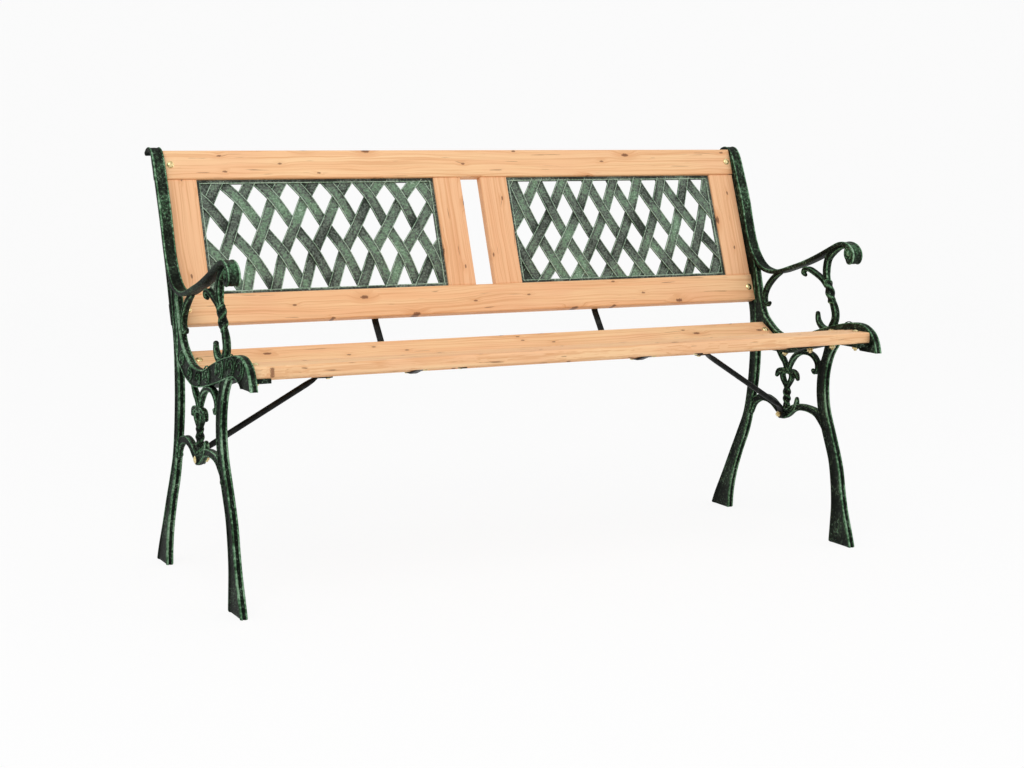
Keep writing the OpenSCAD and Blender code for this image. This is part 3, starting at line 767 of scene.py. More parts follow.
    def strand(self, line: Sequence[Point]) -> None:
        """Adds a scroll bar, which thins and ends in a small ball at both ends.

        Args:
            line: Its line, as depth, height and width.
        """
        curve = smooth(line, 6)
        flat, half = curve[:, :2], curve[:, 2] / 2
        end = np.clip(np.minimum(np.arange(len(flat)), np.arange(len(flat))[::-1]) / 9, 0, 1)
        thick = self.bar_t * (0.62 + 0.38 * end ** 0.7)
        start = self.inner + (self.plate_t - thick) / 2
        self.moulded(beside(flat, half), beside(flat, -half), BAR_MOULDING, start, thick)
        self.knob(flat[0], half[0] * 0.9)
        self.knob(flat[-1], half[-1] * 1.15)

    def knob(self, at: Point, radius: float) -> None:
        """Closes the end of a scroll bar with a small ball."""
        self.turned(at, radius, self.inner + self.plate_t / 2, radius * 1.05, 0.60, BALL)

    def turned(self, at: Point, radius: float, x: float, reach: float, wear: float,
               profile: Sequence[tuple[float, float]] = BUTTON) -> None:
        """Adds a round button across the plate.

        Args:
            at: Its middle, as depth and height.
            radius: Its radius.
            x: X of its middle.
            reach: How far it goes to each side of x.
            wear: How rubbed its paint is on the crowns.
            profile: Its rings, as shares of reach and of radius.
        """
        turn = np.linspace(0, 2 * math.pi, 24, endpoint=False)
        rings = np.zeros((len(profile), len(turn), 3))
        for k, (along, share) in enumerate(profile):
            rings[k, :, 0] = x + along * reach
            rings[k, :, 1] = at[0] + radius * share * np.cos(turn)
            rings[k, :, 2] = at[1] + radius * share * np.sin(turn)
        crown = np.array([[wear * abs(along) ** 0.7] for along, _ in profile])
        self.shell.loft(rings * MM, crown)

    def twisted(self, line: Sequence[Point], lobes: int, turns: float, depth: float) -> None:
        """Adds a twisted bar.

        Args:
            line: Its line, as depth, height and width.
            lobes: Strands that show round the section.
            turns: Turns of the strands from end to end.
            depth: Depth of the valleys, as a share of the radius.
        """
        curve = smooth(line, 10)
        flat, half = curve[:, :2], curve[:, 2] / 2
        left = beside(flat, 1.0) - flat
        s = np.linspace(0, 1, len(curve))
        turn = np.linspace(0, 2 * math.pi, 28, endpoint=False)
        crest = 0.5 + 0.5 * np.cos(lobes * turn[None, :] - 2 * math.pi * turns * s[:, None])
        radius = half[:, None] * (1 - depth + depth * crest)
        rings = np.zeros((len(s), len(turn), 3))
        rings[:, :, 0] = self.inner + self.plate_t / 2 + radius * np.cos(turn) * 0.82
        rings[:, :, 1] = flat[:, :1] + radius * np.sin(turn) * left[:, :1]
        rings[:, :, 2] = flat[:, 1:] + radius * np.sin(turn) * left[:, 1:]
        self.shell.loft(rings * MM, 0.05 + 0.85 * crest ** 2)

    def slab(self, outline: np.ndarray, start: float, thick: float, wear: float = 0.3) -> None:
        """Adds a flat plate with eased edges.

        Args:
            outline: Its outline, as depth and height.
            start: X of its inner face.
            thick: Its thickness along X.
            wear: How rubbed its paint is.
        """
        middle = outline.mean(axis=0)
        inward = unit(middle - outline) * 0.8
        steps = ((0.0, 1.0), (0.8, 0.0), (thick - 0.8, 0.0), (thick, 1.0))
        rings = np.zeros((len(steps), len(outline), 3))
        for k, (depth, eased) in enumerate(steps):
            rings[k, :, 0] = start + depth
            rings[k, :, 1:] = outline + inward * eased
        self.shell.loft(rings * MM, wear)

    def flowers(self) -> None:
        """Adds the row of arched flowers in the sunk field of the seat rim."""
        top, low = smooth(self.rim_top, 4), smooth(self.rim_low, 4)
        face = self.inner + self.plate_t - 2.0
        first, last = 14, 54
        for k in range(self.rim_flowers + 1):
            i = round(first + (last - first) * k / self.rim_flowers)
            middle, up = (top[i] + low[i]) / 2, unit(top[i] - low[i])
            tall = np.linalg.norm(top[i] - low[i]) / 2 - 6.0
            side = np.array([up[1], -up[0]])
            for scale, reach, width in ((1.0, 2.3, 1.5), (0.55, 2.0, 1.3)):
                arc = np.linspace(-0.32 * math.pi, 1.32 * math.pi, 22)
                wide, high = side * tall * 0.72 * scale, up * tall * scale
                line = [middle + wide * math.cos(a) + high * math.sin(a) for a in arc]
                self.bead(np.array(line), face, width, reach)
            self.turned(middle - up * 0.5, 2.2, face, 2.6, 0.8)

    def bead(self, line: np.ndarray, face: float, width: float, reach: float) -> None:
        """Adds a thin raised line on a face.

        Args:
            line: Its line, as depth and height.
            face: X of the face that it stands on.
            width: Its width.
            reach: How far it stands proud.
        """
        left, right = beside(line, width / 2), beside(line, -width / 2)
        rings = np.zeros((len(line), 5, 3))
        sections = ((left, -0.6), (left, reach * 0.6), (line, reach), (right, reach * 0.6), (right, -0.6))
        for k, (points, proud) in enumerate(sections):
            rings[:, k, 0] = face + proud
            rings[:, k, 1:] = points
        self.shell.loft(rings * MM, np.array([0.2, 0.7, 1.0, 0.7, 0.2]))

    def ledge(self) -> None:
        """Adds the ledge under the slats, the lugs behind the back rails and the brace's boss."""
        under = np.array([corner for slat in SeatSlat.all() for corner in slat.under_corners()]) / MM
        below = beside(under, -self.ledge_t)
        start = self.inner - self.ledge_w
        self.slab(np.vstack([under, below[::-1]]), start, self.ledge_w + self.plate_t / 2, 0.25)
        for node in ("back_bottom_rail", "back_top_rail"):
            rail = Board.on_back(node)
            near = rail.place.moved(up=-rail.thickness / 2)
            far, half = near.moved(up=-self.lug_t * MM), self.lug_h * MM / 2
            round_lug = ((near, -half), (near, half), (far, half), (far, -half))
            corners = [p.middle + p.across * h for p, h in round_lug]
            self.slab(np.array([(c.y, c.z) for c in corners]) / MM, start, self.ledge_w + self.plate_t, 0.25)
        self.turned(self.brace_foot, self.boss_d / 2, self.inner + self.plate_t / 2, self.plate_t / 2, 0.5)

    def build(self, paint: bpy.types.Material) -> bpy.types.Object:
        """Builds the casting and hands it over.

        Args:
            paint: The casting's paint.

        Returns:
            The casting.
        """
        for front, rear in ((self.spine_front, self.spine_rear), (self.leg_front, self.leg_rear)):
            self.moulded(smooth(front), smooth(rear), LEG_MOULDING, self.inner, self.plate_t, foot=True)
        self.moulded(smooth(self.rim_top), smooth(self.rim_low), RIM_MOULDING, self.inner, self.plate_t)
        outer = smooth(self.flange, 6)
        self.moulded(outer, beside(outer, self.flange_t), FLANGE_MOULDING, self.inner, self.flange_w)
        for line in (*self.ring, *self.vine):
            self.strand(line)
        self.twisted(self.rope, 2, 4.2, 0.24)
        self.twisted(self.beads, 2, 3.4, 0.24)
        half = self.flange_w / 2
        self.turned(self.scroll, self.scroll_d / 2, self.inner + half, half - 0.6, 0.9, VOLUTE)
        self.flowers()
        self.ledge()
        name = f"{self.side.name.lower()}_end_casting"
        piece = self.shell.piece(name, mirrored=self.side is Side.LEFT)
        hand_over(piece, f"end_frame_{self.side.name.lower()}", paint)
        return piece


# ---------------------------------------------------------------- timber


@dataclass
class Board:
    """A board with eased long edges."""

    node: str
    place: Place
    length: float
    width: float
    thickness: float
    radius: float
    tone: float
    offset: Point

    BACK_RAIL = (0.053, 0.022, 0.003)
    BACK_STILE = (0.0555, 0.016, 0.0015)

    @staticmethod
    def back_axes() -> tuple[Vector, Vector]:
        """Gives the directions up the back's slope and out of its front face."""
        slope = (middle_of("back_top_rail") - middle_of("back_bottom_rail")).normalized()
        return slope, Vector((0, -slope.z, slope.y))

    @classmethod
    def on_back(cls, node: str, tone: float = 0.1, offset: Point = (0, 0, 0)) -> "Board":
        """Places a rail or a stile of the back.

        Args:
            node: The board's node.
            tone: How rosy the board is, from 0 to 1.
            offset: Where in the timber the board is cut from.

        Returns:
            The board.
        """
        slope, front = cls.back_axes()
        low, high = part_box(node)
        along = Vector((1, 0, 0))
        if "rail" in node:
            width, thickness, radius = cls.BACK_RAIL
            place = Place((low + high) / 2, along, slope, front)
            return cls(node, place, high.x - low.x, width, thickness, radius, tone, offset)
        width, thickness, radius = cls.BACK_STILE
        pitch = (middle_of("back_top_rail") - middle_of("back_bottom_rail")).length
        place = Place((low + high) / 2, slope, -along, front)
        return cls(node, place, pitch - cls.BACK_RAIL[0], width, thickness, radius, tone, offset)

    def section(self) -> np.ndarray:
        """Draws the section, with a quarter circle at each corner and points along each side.

        Returns:
            The section's points, across and up.
        """
        points = []
        w, t, r = self.width / 2, self.thickness / 2, self.radius
        for quarter, (sx, sy) in enumerate(((1, 1), (-1, 1), (-1, -1), (1, -1))):
            for k in range(6):
                a = math.radians(90 * quarter + 18 * k)
                points.append((sx * (w - r) + r * math.cos(a), sy * (t - r) + r * math.sin(a)))
            nx, ny = ((-1, 1), (-1, -1), (1, -1), (1, 1))[quarter]
            a = np.array(points[-1])
            b = np.array((nx * (w - r), ny * t) if quarter % 2 == 0 else (nx * w, ny * (t - r)))
            points += [tuple(a + (b - a) * f) for f in (0.2, 0.4, 0.6, 0.8)]
        return np.array(points)

    def build(self, timber: bpy.types.Material) -> bpy.types.Object:
        """Builds the board and hands it over.

        Args:
            timber: The board's finish.

        Returns:
            The board.
        """
        section = self.section()
        ease = 0.0008
        half = self.length / 2
        stations = np.concatenate([[-half], np.linspace(-half + ease, half - ease, 90), [half]])
        shrink = np.ones(len(stations))
        shrink[[0, -1]] = 1 - 2 * ease / self.thickness
        local = np.zeros((len(stations), len(section), 3))
        local[:, :, 0] = stations[:, None]
        local[:, :, 1] = section[:, 0] * (1 - (1 - shrink[:, None]) * self.thickness / self.width)
        local[:, :, 2] = section[:, 1] * shrink[:, None]
        wave = np.sin(stations * 9.0 + self.offset[0] * 40) * np.sin(stations * 3.7 + self.offset[1] * 90)
        local[:, :, 2] += -0.00022 * (0.5 + 0.5 * wave[:, None]) * np.sign(section[:, 1])
        shell = Shell()
        rings = self.place.at(local.reshape(-1, 3)).reshape(local.shape)
        shell.loft(rings, self.tone, local + np.array(self.offset))
        piece = shell.piece(f"{self.node}_board")
        hand_over(piece, self.node, timber)
        return piece


@dataclass
class SeatSlat(Board):
    """A seat slat, which lies at its own tilt on the ledge."""

    TILTS = (0, -8, -13, 0, 28)
    SECTION = (0.057, 0.020, 0.004)

    @classmethod
    def all(cls) -> list["SeatSlat"]:
        """Gives the slats from front to rear."""
        return [cls.numbered(i) for i in range(len(cls.TILTS))]

    @classmethod
    def numbered(cls, i: int) -> "SeatSlat":
        """Places one slat.

        Args:
            i: The slat's number from the front, from 0.

        Returns:
            The slat.
        """
        node = f"seat_slat_{i + 1}"
        low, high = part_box(node)
        tilt = math.radians(cls.TILTS[i])
        across = Vector((0, math.cos(tilt), math.sin(tilt)))
        up = Vector((0, -math.sin(tilt), math.cos(tilt)))
        place = Place((low + high) / 2, Vector((1, 0, 0)), across, up)
        width, thickness, radius = cls.SECTION
        cut_from = (3.1 * i + 0.37, 0.53 * i, 0.21 * i)
        return cls(node, place, high.x - low.x, width, thickness, radius, 0.05, cut_from)

    def under_corners(self) -> list[Point]:
        """Finds the front and rear corners of its underside.

        Returns:
            The corners, as depth and height.
        """
        below = self.place.moved(up=-self.thickness / 2)
        ends = [below.moved(across=s * self.width / 2).middle for s in (-1, 1)]
        return [(p.y, p.z) for p in ends]


# ---------------------------------------------------------------- lattice


@dataclass
class LatticePanel:
    """A cast panel of woven flat bars in a slim rim, drawn in millimetres about its own middle."""

    side: Side
    fan_radius: float = 1500.0
    columns: int = 8
    rows: Sequence[float] = (-167, -117.5, -72.5, -19, 31.5, 94, 152)
    bar: float = 20.0
    weave: float = 1.7
    rim_hidden: float = 6.5
    bar_back: float = -1.6
    paint_shift: float = 0.7
    off_middle: dict[Side, float] = field(default_factory=lambda: {Side.LEFT: -5.0, Side.RIGHT: 6.5})

    # The rim's section, as inset from its outer edge, height and wear; wear over 1 on the inner lip gives a
    # pale line that is partly painted highlight
    RIM_SECTION = (
        (0.0, -3.75, 0.1), (0.0, 3.75, 0.1), (6.8, 3.75, 0.25), (8.6, 3.5, 0.15), (11.6, 3.4, 0.20),
        (12.2, 3.72, 1.25), (13.2, 3.6, 1.15), (13.5, 3.0, 0.5), (13.5, -3.0, 0.1), (12.9, -3.75, 0.3))
    # Half of a bar's front, from its edge to its middle, as place across, height and wear; wear over 1 on the
    # lip gives pale lines that are partly painted highlight
    BAR_SECTION = (
        (10.0, 0.2, 0.1), (10.0, 2.7, 0.75), (9.5, 3.5, 1.35), (8.6, 3.5, 1.20), (7.9, 2.6, 0.15),
        (6.4, 2.5, 0.34), (3.5, 2.7, 0.50), (0.0, 2.75, 0.52))
    BAR_BOTTOM = ((-9.4, -0.2, 0.3), (9.4, -0.2, 0.3))

    def fan(self, a: np.ndarray | float, t: np.ndarray | float) -> np.ndarray:
        """Gives the place that is a along the fan's middle arc and t up from the panel's middle."""
        r, turn = self.fan_radius - t, np.asarray(a) / self.fan_radius
        return np.stack([r * np.sin(turn), self.fan_radius - r * np.cos(turn)], axis=-1)

    def woven_bar(self, shell: Shell, pitch: float, column: float, lean: Lean) -> None:
        """Adds one bar, which passes over and under the bars that lean the other way, with painted shade
        where it passes under.

        Args:
            shell: The panel in the making.
            pitch: Distance between columns.
            column: The column where the bar crosses the middle row.
            lean: The way that it leans.
        """
        k, rise = smooth([(row - 3, t) for row, t in enumerate(self.rows)], 16).T
        line = self.fan((column + lean.value * k / 2) * pitch, rise)
        lift = lean.value * self.weave * np.cos(math.pi * k)
        half = self.BAR_SECTION
        section = (*half, *((-w, z, wear) for w, z, wear in reversed(half[:-1])), *self.BAR_BOTTOM)
        rings = np.zeros((len(k), len(section), 3))
        for i, (w, z, _) in enumerate(section):
            rings[:, i, :2] = beside(line, w * self.bar / 20) + (self.off_middle[self.side], 0)
            rings[:, i, 2] = lift + z + self.bar_back
        # Painted shade: where a bar dips under a crossing bar, its wear is cut by up to three quarters, which
        # darkens it there.
        under = np.clip(-lift / self.weave, 0, 1)[:, None] ** 2
        wear = np.array([point[2] for point in section])[None, :] * (1 - 0.75 * under)
        shell.loft(rings, wear, rings * MM + self.side.value * self.paint_shift)

    def solid_cell(self, shell: Shell, pitch: float, column: float, row: int) -> None:
        """Adds the thin plate of a cell that is cast solid.

        Args:
            shell: The panel in the making.
            pitch: Distance between columns.
            column: The cell's column.
            row: The cell's row, counted up from the middle one.
        """
        below, t, above = self.rows[row + 2:row + 5]
        middle = self.fan(column * pitch, t) + (self.off_middle[self.side], 0)
        steps = np.linspace(0, 1, 9)[:-1]
        corners = [(-pitch / 2, 0), (0, above - t), (pitch / 2, 0), (0, below - t), (-pitch / 2, 0)]
        sides = [(np.array(a), np.array(b)) for a, b in zip(corners, corners[1:])]
        edge = np.array([a + (b - a) * f for a, b in sides for f in steps])
        rings = np.zeros((5, len(edge), 3))
        for i, (share, z) in enumerate(((1.0, -2.0), (1.0, -0.9), (0.72, -0.5), (0.45, -0.2), (0.2, -0.1))):
            rings[i, :, :2] = middle + edge * share
            rings[i, :, 2] = z
        wear = np.array([[0.1], [0.1], [0.15], [0.2], [0.2]])
        shell.loft(rings, wear, rings * MM + self.side.value * self.paint_shift)

    def rim(self, shell: Shell, wide: float, tall: float) -> None:
        """Adds the rim, whose outer edge stands in the timber's grooves.

        Args:
            shell: The rim in the making.
            wide: Its width over all.
            tall: Its height over all.
        """
        rings = np.zeros((4, len(self.RIM_SECTION), 3))
        for c, (sx, sy) in enumerate(((-1, -1), (1, -1), (1, 1), (-1, 1))):
            for i, (inset, z, _) in enumerate(self.RIM_SECTION):
                rings[c, i] = sx * (wide / 2 - inset), sy * (tall / 2 - inset), z
        shell.loft(rings, np.array([point[2] for point in self.RIM_SECTION]), rings * MM, looped=True)

    def clipped(self, made: bpy.types.Object, wide: float, tall: float) -> None:
        """Cuts the bars off inside the rim and closes their ends.

        Args:
            made: The bars, still about the panel's own middle.
            wide: Width to keep.
            tall: Height to keep.
        """
        bm = bmesh.new()
        bm.from_mesh(made.data)
        for way, reach in (((1, 0, 0), wide), ((-1, 0, 0), wide), ((0, 1, 0), tall), ((0, -1, 0), tall)):
            cut = bmesh.ops.bisect_plane(bm, geom=bm.verts[:] + bm.edges[:] + bm.faces[:], clear_outer=True,
                                         plane_co=Vector(way) * reach / 2, plane_no=way)
            rim = [e for e in cut["geom_cut"] if isinstance(e, bmesh.types.BMEdge)]
            bmesh.ops.holes_fill(bm, edges=rim, sides=0)
        bm.to_mesh(made.data)
        bm.free()

    def build(self, paint: bpy.types.Material) -> bpy.types.Object:
        """Builds the panel and hands it over.

        Args:
            paint: The panel's paint.

        Returns:
            The panel.
        """
        node = f"lattice_panel_{self.side.name.lower()}"
        low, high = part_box(node)
        slope, front = Board.back_axes()
        rails_apart = (middle_of("back_top_rail") - middle_of("back_bottom_rail")).length
        rise = rails_apart / MM - Board.BACK_RAIL[0] / MM
        opening = (high.x - low.x) / MM - 2 * self.rim_hidden
        pitch = opening / (self.columns - 0.3)
        bars = Shell()
        for lean in Lean:
            for column in range(-self.columns, self.columns + 1):
                self.woven_bar(bars, pitch, column, lean)
        for column, row in ((-4, 1), (4, 1), *((c, -2) for c in (-3.5, -1.5, -0.5, 0.5, 1.5, 3.5))):
            self.solid_cell(bars, pitch, column, row)
        woven = bars.piece(f"{self.side.name.lower()}_woven_bars")
        self.clipped(woven, opening - 4, rise - 4)
        edge = Shell()
        self.rim(edge, opening + 2 * self.rim_hidden, rise + 2 * self.rim_hidden)
        rim = edge.piece(f"{self.side.name.lower()}_lattice")
        bm = bmesh.new()
        bm.from_mesh(rim.data)
        bm.from_mesh(woven.data)
        bm.to_mesh(rim.data)
        bm.free()
        bpy.data.objects.remove(woven)
        turned = -1 if self.side is Side.LEFT else 1
        axes = Matrix((Vector((turned, 0, 0)), slope * turned, front)).transposed().to_4x4()
        rim.data.transform(Matrix.Translation((low + high) / 2) @ axes @ Matrix.Scale(MM, 4))
        rim.data.set_sharp_from_angle(angle=math.radians(48))
        hand_over(rim, node, paint)
        return rim


# ---------------------------------------------------------------- stays


@dataclass
class BraceRod:
    """A round rod from an end frame's foot boss to the fourth slat, with flattened ends."""

    side: Side
    rod: float = 0.0105
    tab: tuple[float, float] = (0.017, 0.004)
    foot_tab: float = 0.014
    head_tab: float = 0.020
    foot_bend: float = 0.019
    head_bend: float = 0.026
    dish: float = 0.0006
    thinnest: float = 0.0008

    # A tab's rounded tip, as shares of half its width
    TIP = (0.0, 0.25, 0.55, 0.8, 0.94, 1.0)
    # The neck between tab and rod, as distance along the rod and share of the rod's own section
    NECK = ((0.001, 0.45), (0.007, 0.8), (0.014, 1.0))

    def tip(self, reach: float) -> Point:
        """Gives a tab's section in its rounded tip.

        Args:
            reach: How far out the section is, as a share of half the tab's width.

        Returns:
            Half the width, half the thickness and the squareness.
        """
        wide, thick = self.tab[0] / 2, self.tab[1] / 2
        return max(wide * math.sqrt(1 - reach ** 2), self.thinnest), thick * (0.75 if reach == 1 else 1), 6.0

    def neck(self, blend: float) -> Point:
        """Gives a section between tab and rod.

        Args:
            blend: 0 for the tab's section and 1 for the rod's.

        Returns:
            Half the width, half the thickness and the squareness.
        """
        wide, thick, round_half = self.tab[0] / 2, self.tab[1] / 2, self.rod / 2
        return wide + (round_half - wide) * blend, thick + (round_half - thick) * blend, 5 - 3 * blend

    def build(self, paint: bpy.types.Material) -> bpy.types.Object:
        """Builds the rod and hands it over.

        Args:
            paint: The rod's paint.

        Returns:
            The rod.
        """
        name = self.side.name.lower()
        bolt, screw = middle_of(f"brace_bolt_{name}"), middle_of(f"brace_screw_{name}")
        low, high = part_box(f"brace_rod_{name}")
        s = self.side.value
        inner = high.x if s > 0 else low.x
        wide, thick = self.tab[0] / 2, self.tab[1] / 2
        foot = Vector((inner - s * thick, bolt.y, bolt.z))
        head = Vector((screw.x, screw.y, high.z - thick))
        flat = Vector((head.x - foot.x, head.y - foot.y, 0)).normalized()
        drop = (self.rod + self.tab[1]) / 2
        lower = Vector((inner - s * drop, foot.y, foot.z + self.foot_bend))
        upper = head + Vector((0, 0, thick)) - flat * self.head_bend - Vector((0, 0, drop))
        rod, up = (upper - lower).normalized(), Vector((0, 0, 1))
        tab, bend = (wide, thick, 6.0), (wide * 0.94, thick * 1.15, 5.0)
        path = [foot - up * wide * reach for reach in reversed(self.TIP)]
        shapes = [self.tip(reach) for reach in reversed(self.TIP)]
        path += [foot + up * self.foot_tab * 0.6, foot + up * self.foot_tab - Vector((s * self.dish, 0, 0))]
        shapes += [tab, bend]
        path += [lower + rod * reach for reach, _ in self.NECK]
        shapes += [self.neck(blend) for _, blend in self.NECK]
        shares = np.linspace(0.12, 0.88, 24)
        path += [lower.lerp(upper, share) for share in shares]
        shapes += [(self.rod / 2, self.rod / 2, 2.0)] * len(shares)
        path += [upper - rod * reach for reach, _ in reversed(self.NECK)]
        shapes += [self.neck(blend) for _, blend in reversed(self.NECK)]
        path += [head - flat * self.head_tab, head - flat * self.head_tab * 0.6]
        shapes += [bend, tab]
        path += [head + flat * wide * reach for reach in self.TIP]
        shapes += [self.tip(reach) for reach in self.TIP]
        shell = Shell()
        at_foot, at_head = Vector((0, 1, 0)), Vector((flat.y * s, -flat.x * s, 0))
        turn = [at_foot.lerp(at_head, share) for share in np.linspace(0, 1, len(path))]
        sweep(shell, path, turn, [shape[:2] for shape in shapes], [shape[2] for shape in shapes])
        piece = shell.piece(f"{name}_brace")
        hand_over(piece, f"brace_rod_{name}", paint)
        return piece


@dataclass
class CentreStrap:
    """A flat strap screwed under the slats and up the lower rail's back."""

    side: Side
    width: float = 0.012
    thickness: float = 0.0035
    top: float = 0.022
    stand: float = 0.005
    ease: float = 0.003

    def build(self, paint: bpy.types.Material) -> bpy.types.Object:
        """Builds the strap and hands it over.

        Args:
            paint: The strap's paint.

        Returns:
            The strap.
        """
        node = f"centre_strap_{self.side.name.lower()}"
        x = middle_of(node).x
        half = self.thickness / 2
        slats = SeatSlat.all()
        corners = [slats[0].place.moved(across=-slats[0].width / 4, up=-slats[0].thickness / 2 - half).middle]
        for slat in slats:
            under = slat.place.moved(up=-slat.thickness / 2 - half)
            ends = [under.moved(across=e * slat.width / 2).middle for e in (-1, 1)]
            corners += ends[1:] if slat is slats[0] else ends
        last, rail = slats[-1], Board.on_back("back_bottom_rail")
        corners.append(last.place.moved(across=last.width / 2 + self.stand + half,
                                        up=self.ease - last.thickness / 2 - half / 2).middle)
        behind = rail.place.moved(up=-rail.thickness / 2 - half)
        corners += [behind.moved(across=reach).middle for reach in (-rail.width / 2 - self.ease, self.top)]
        path = [corners[0]]
        for before, bend, after in zip(corners, corners[1:], corners[2:]):
            near = min(0.004, (before - bend).length * 0.3, (after - bend).length * 0.3)
            a, b = bend + (before - bend).normalized() * near, bend + (after - bend).normalized() * near
            path += [a, (a + b) / 4 + bend / 2, b]
        path.append(corners[-1])
        line = [Vector((x, p.y, p.z)) for p in path]
        shell = Shell()
        n = len(line)
        sweep(shell, line, [Vector((1, 0, 0))] * n, [(self.width / 2, half)] * n, [9.0] * n)
        piece = shell.piece(f"{self.side.name.lower()}_strap")
        hand_over(piece, node, paint)
        return piece


# ---------------------------------------------------------------- fasteners


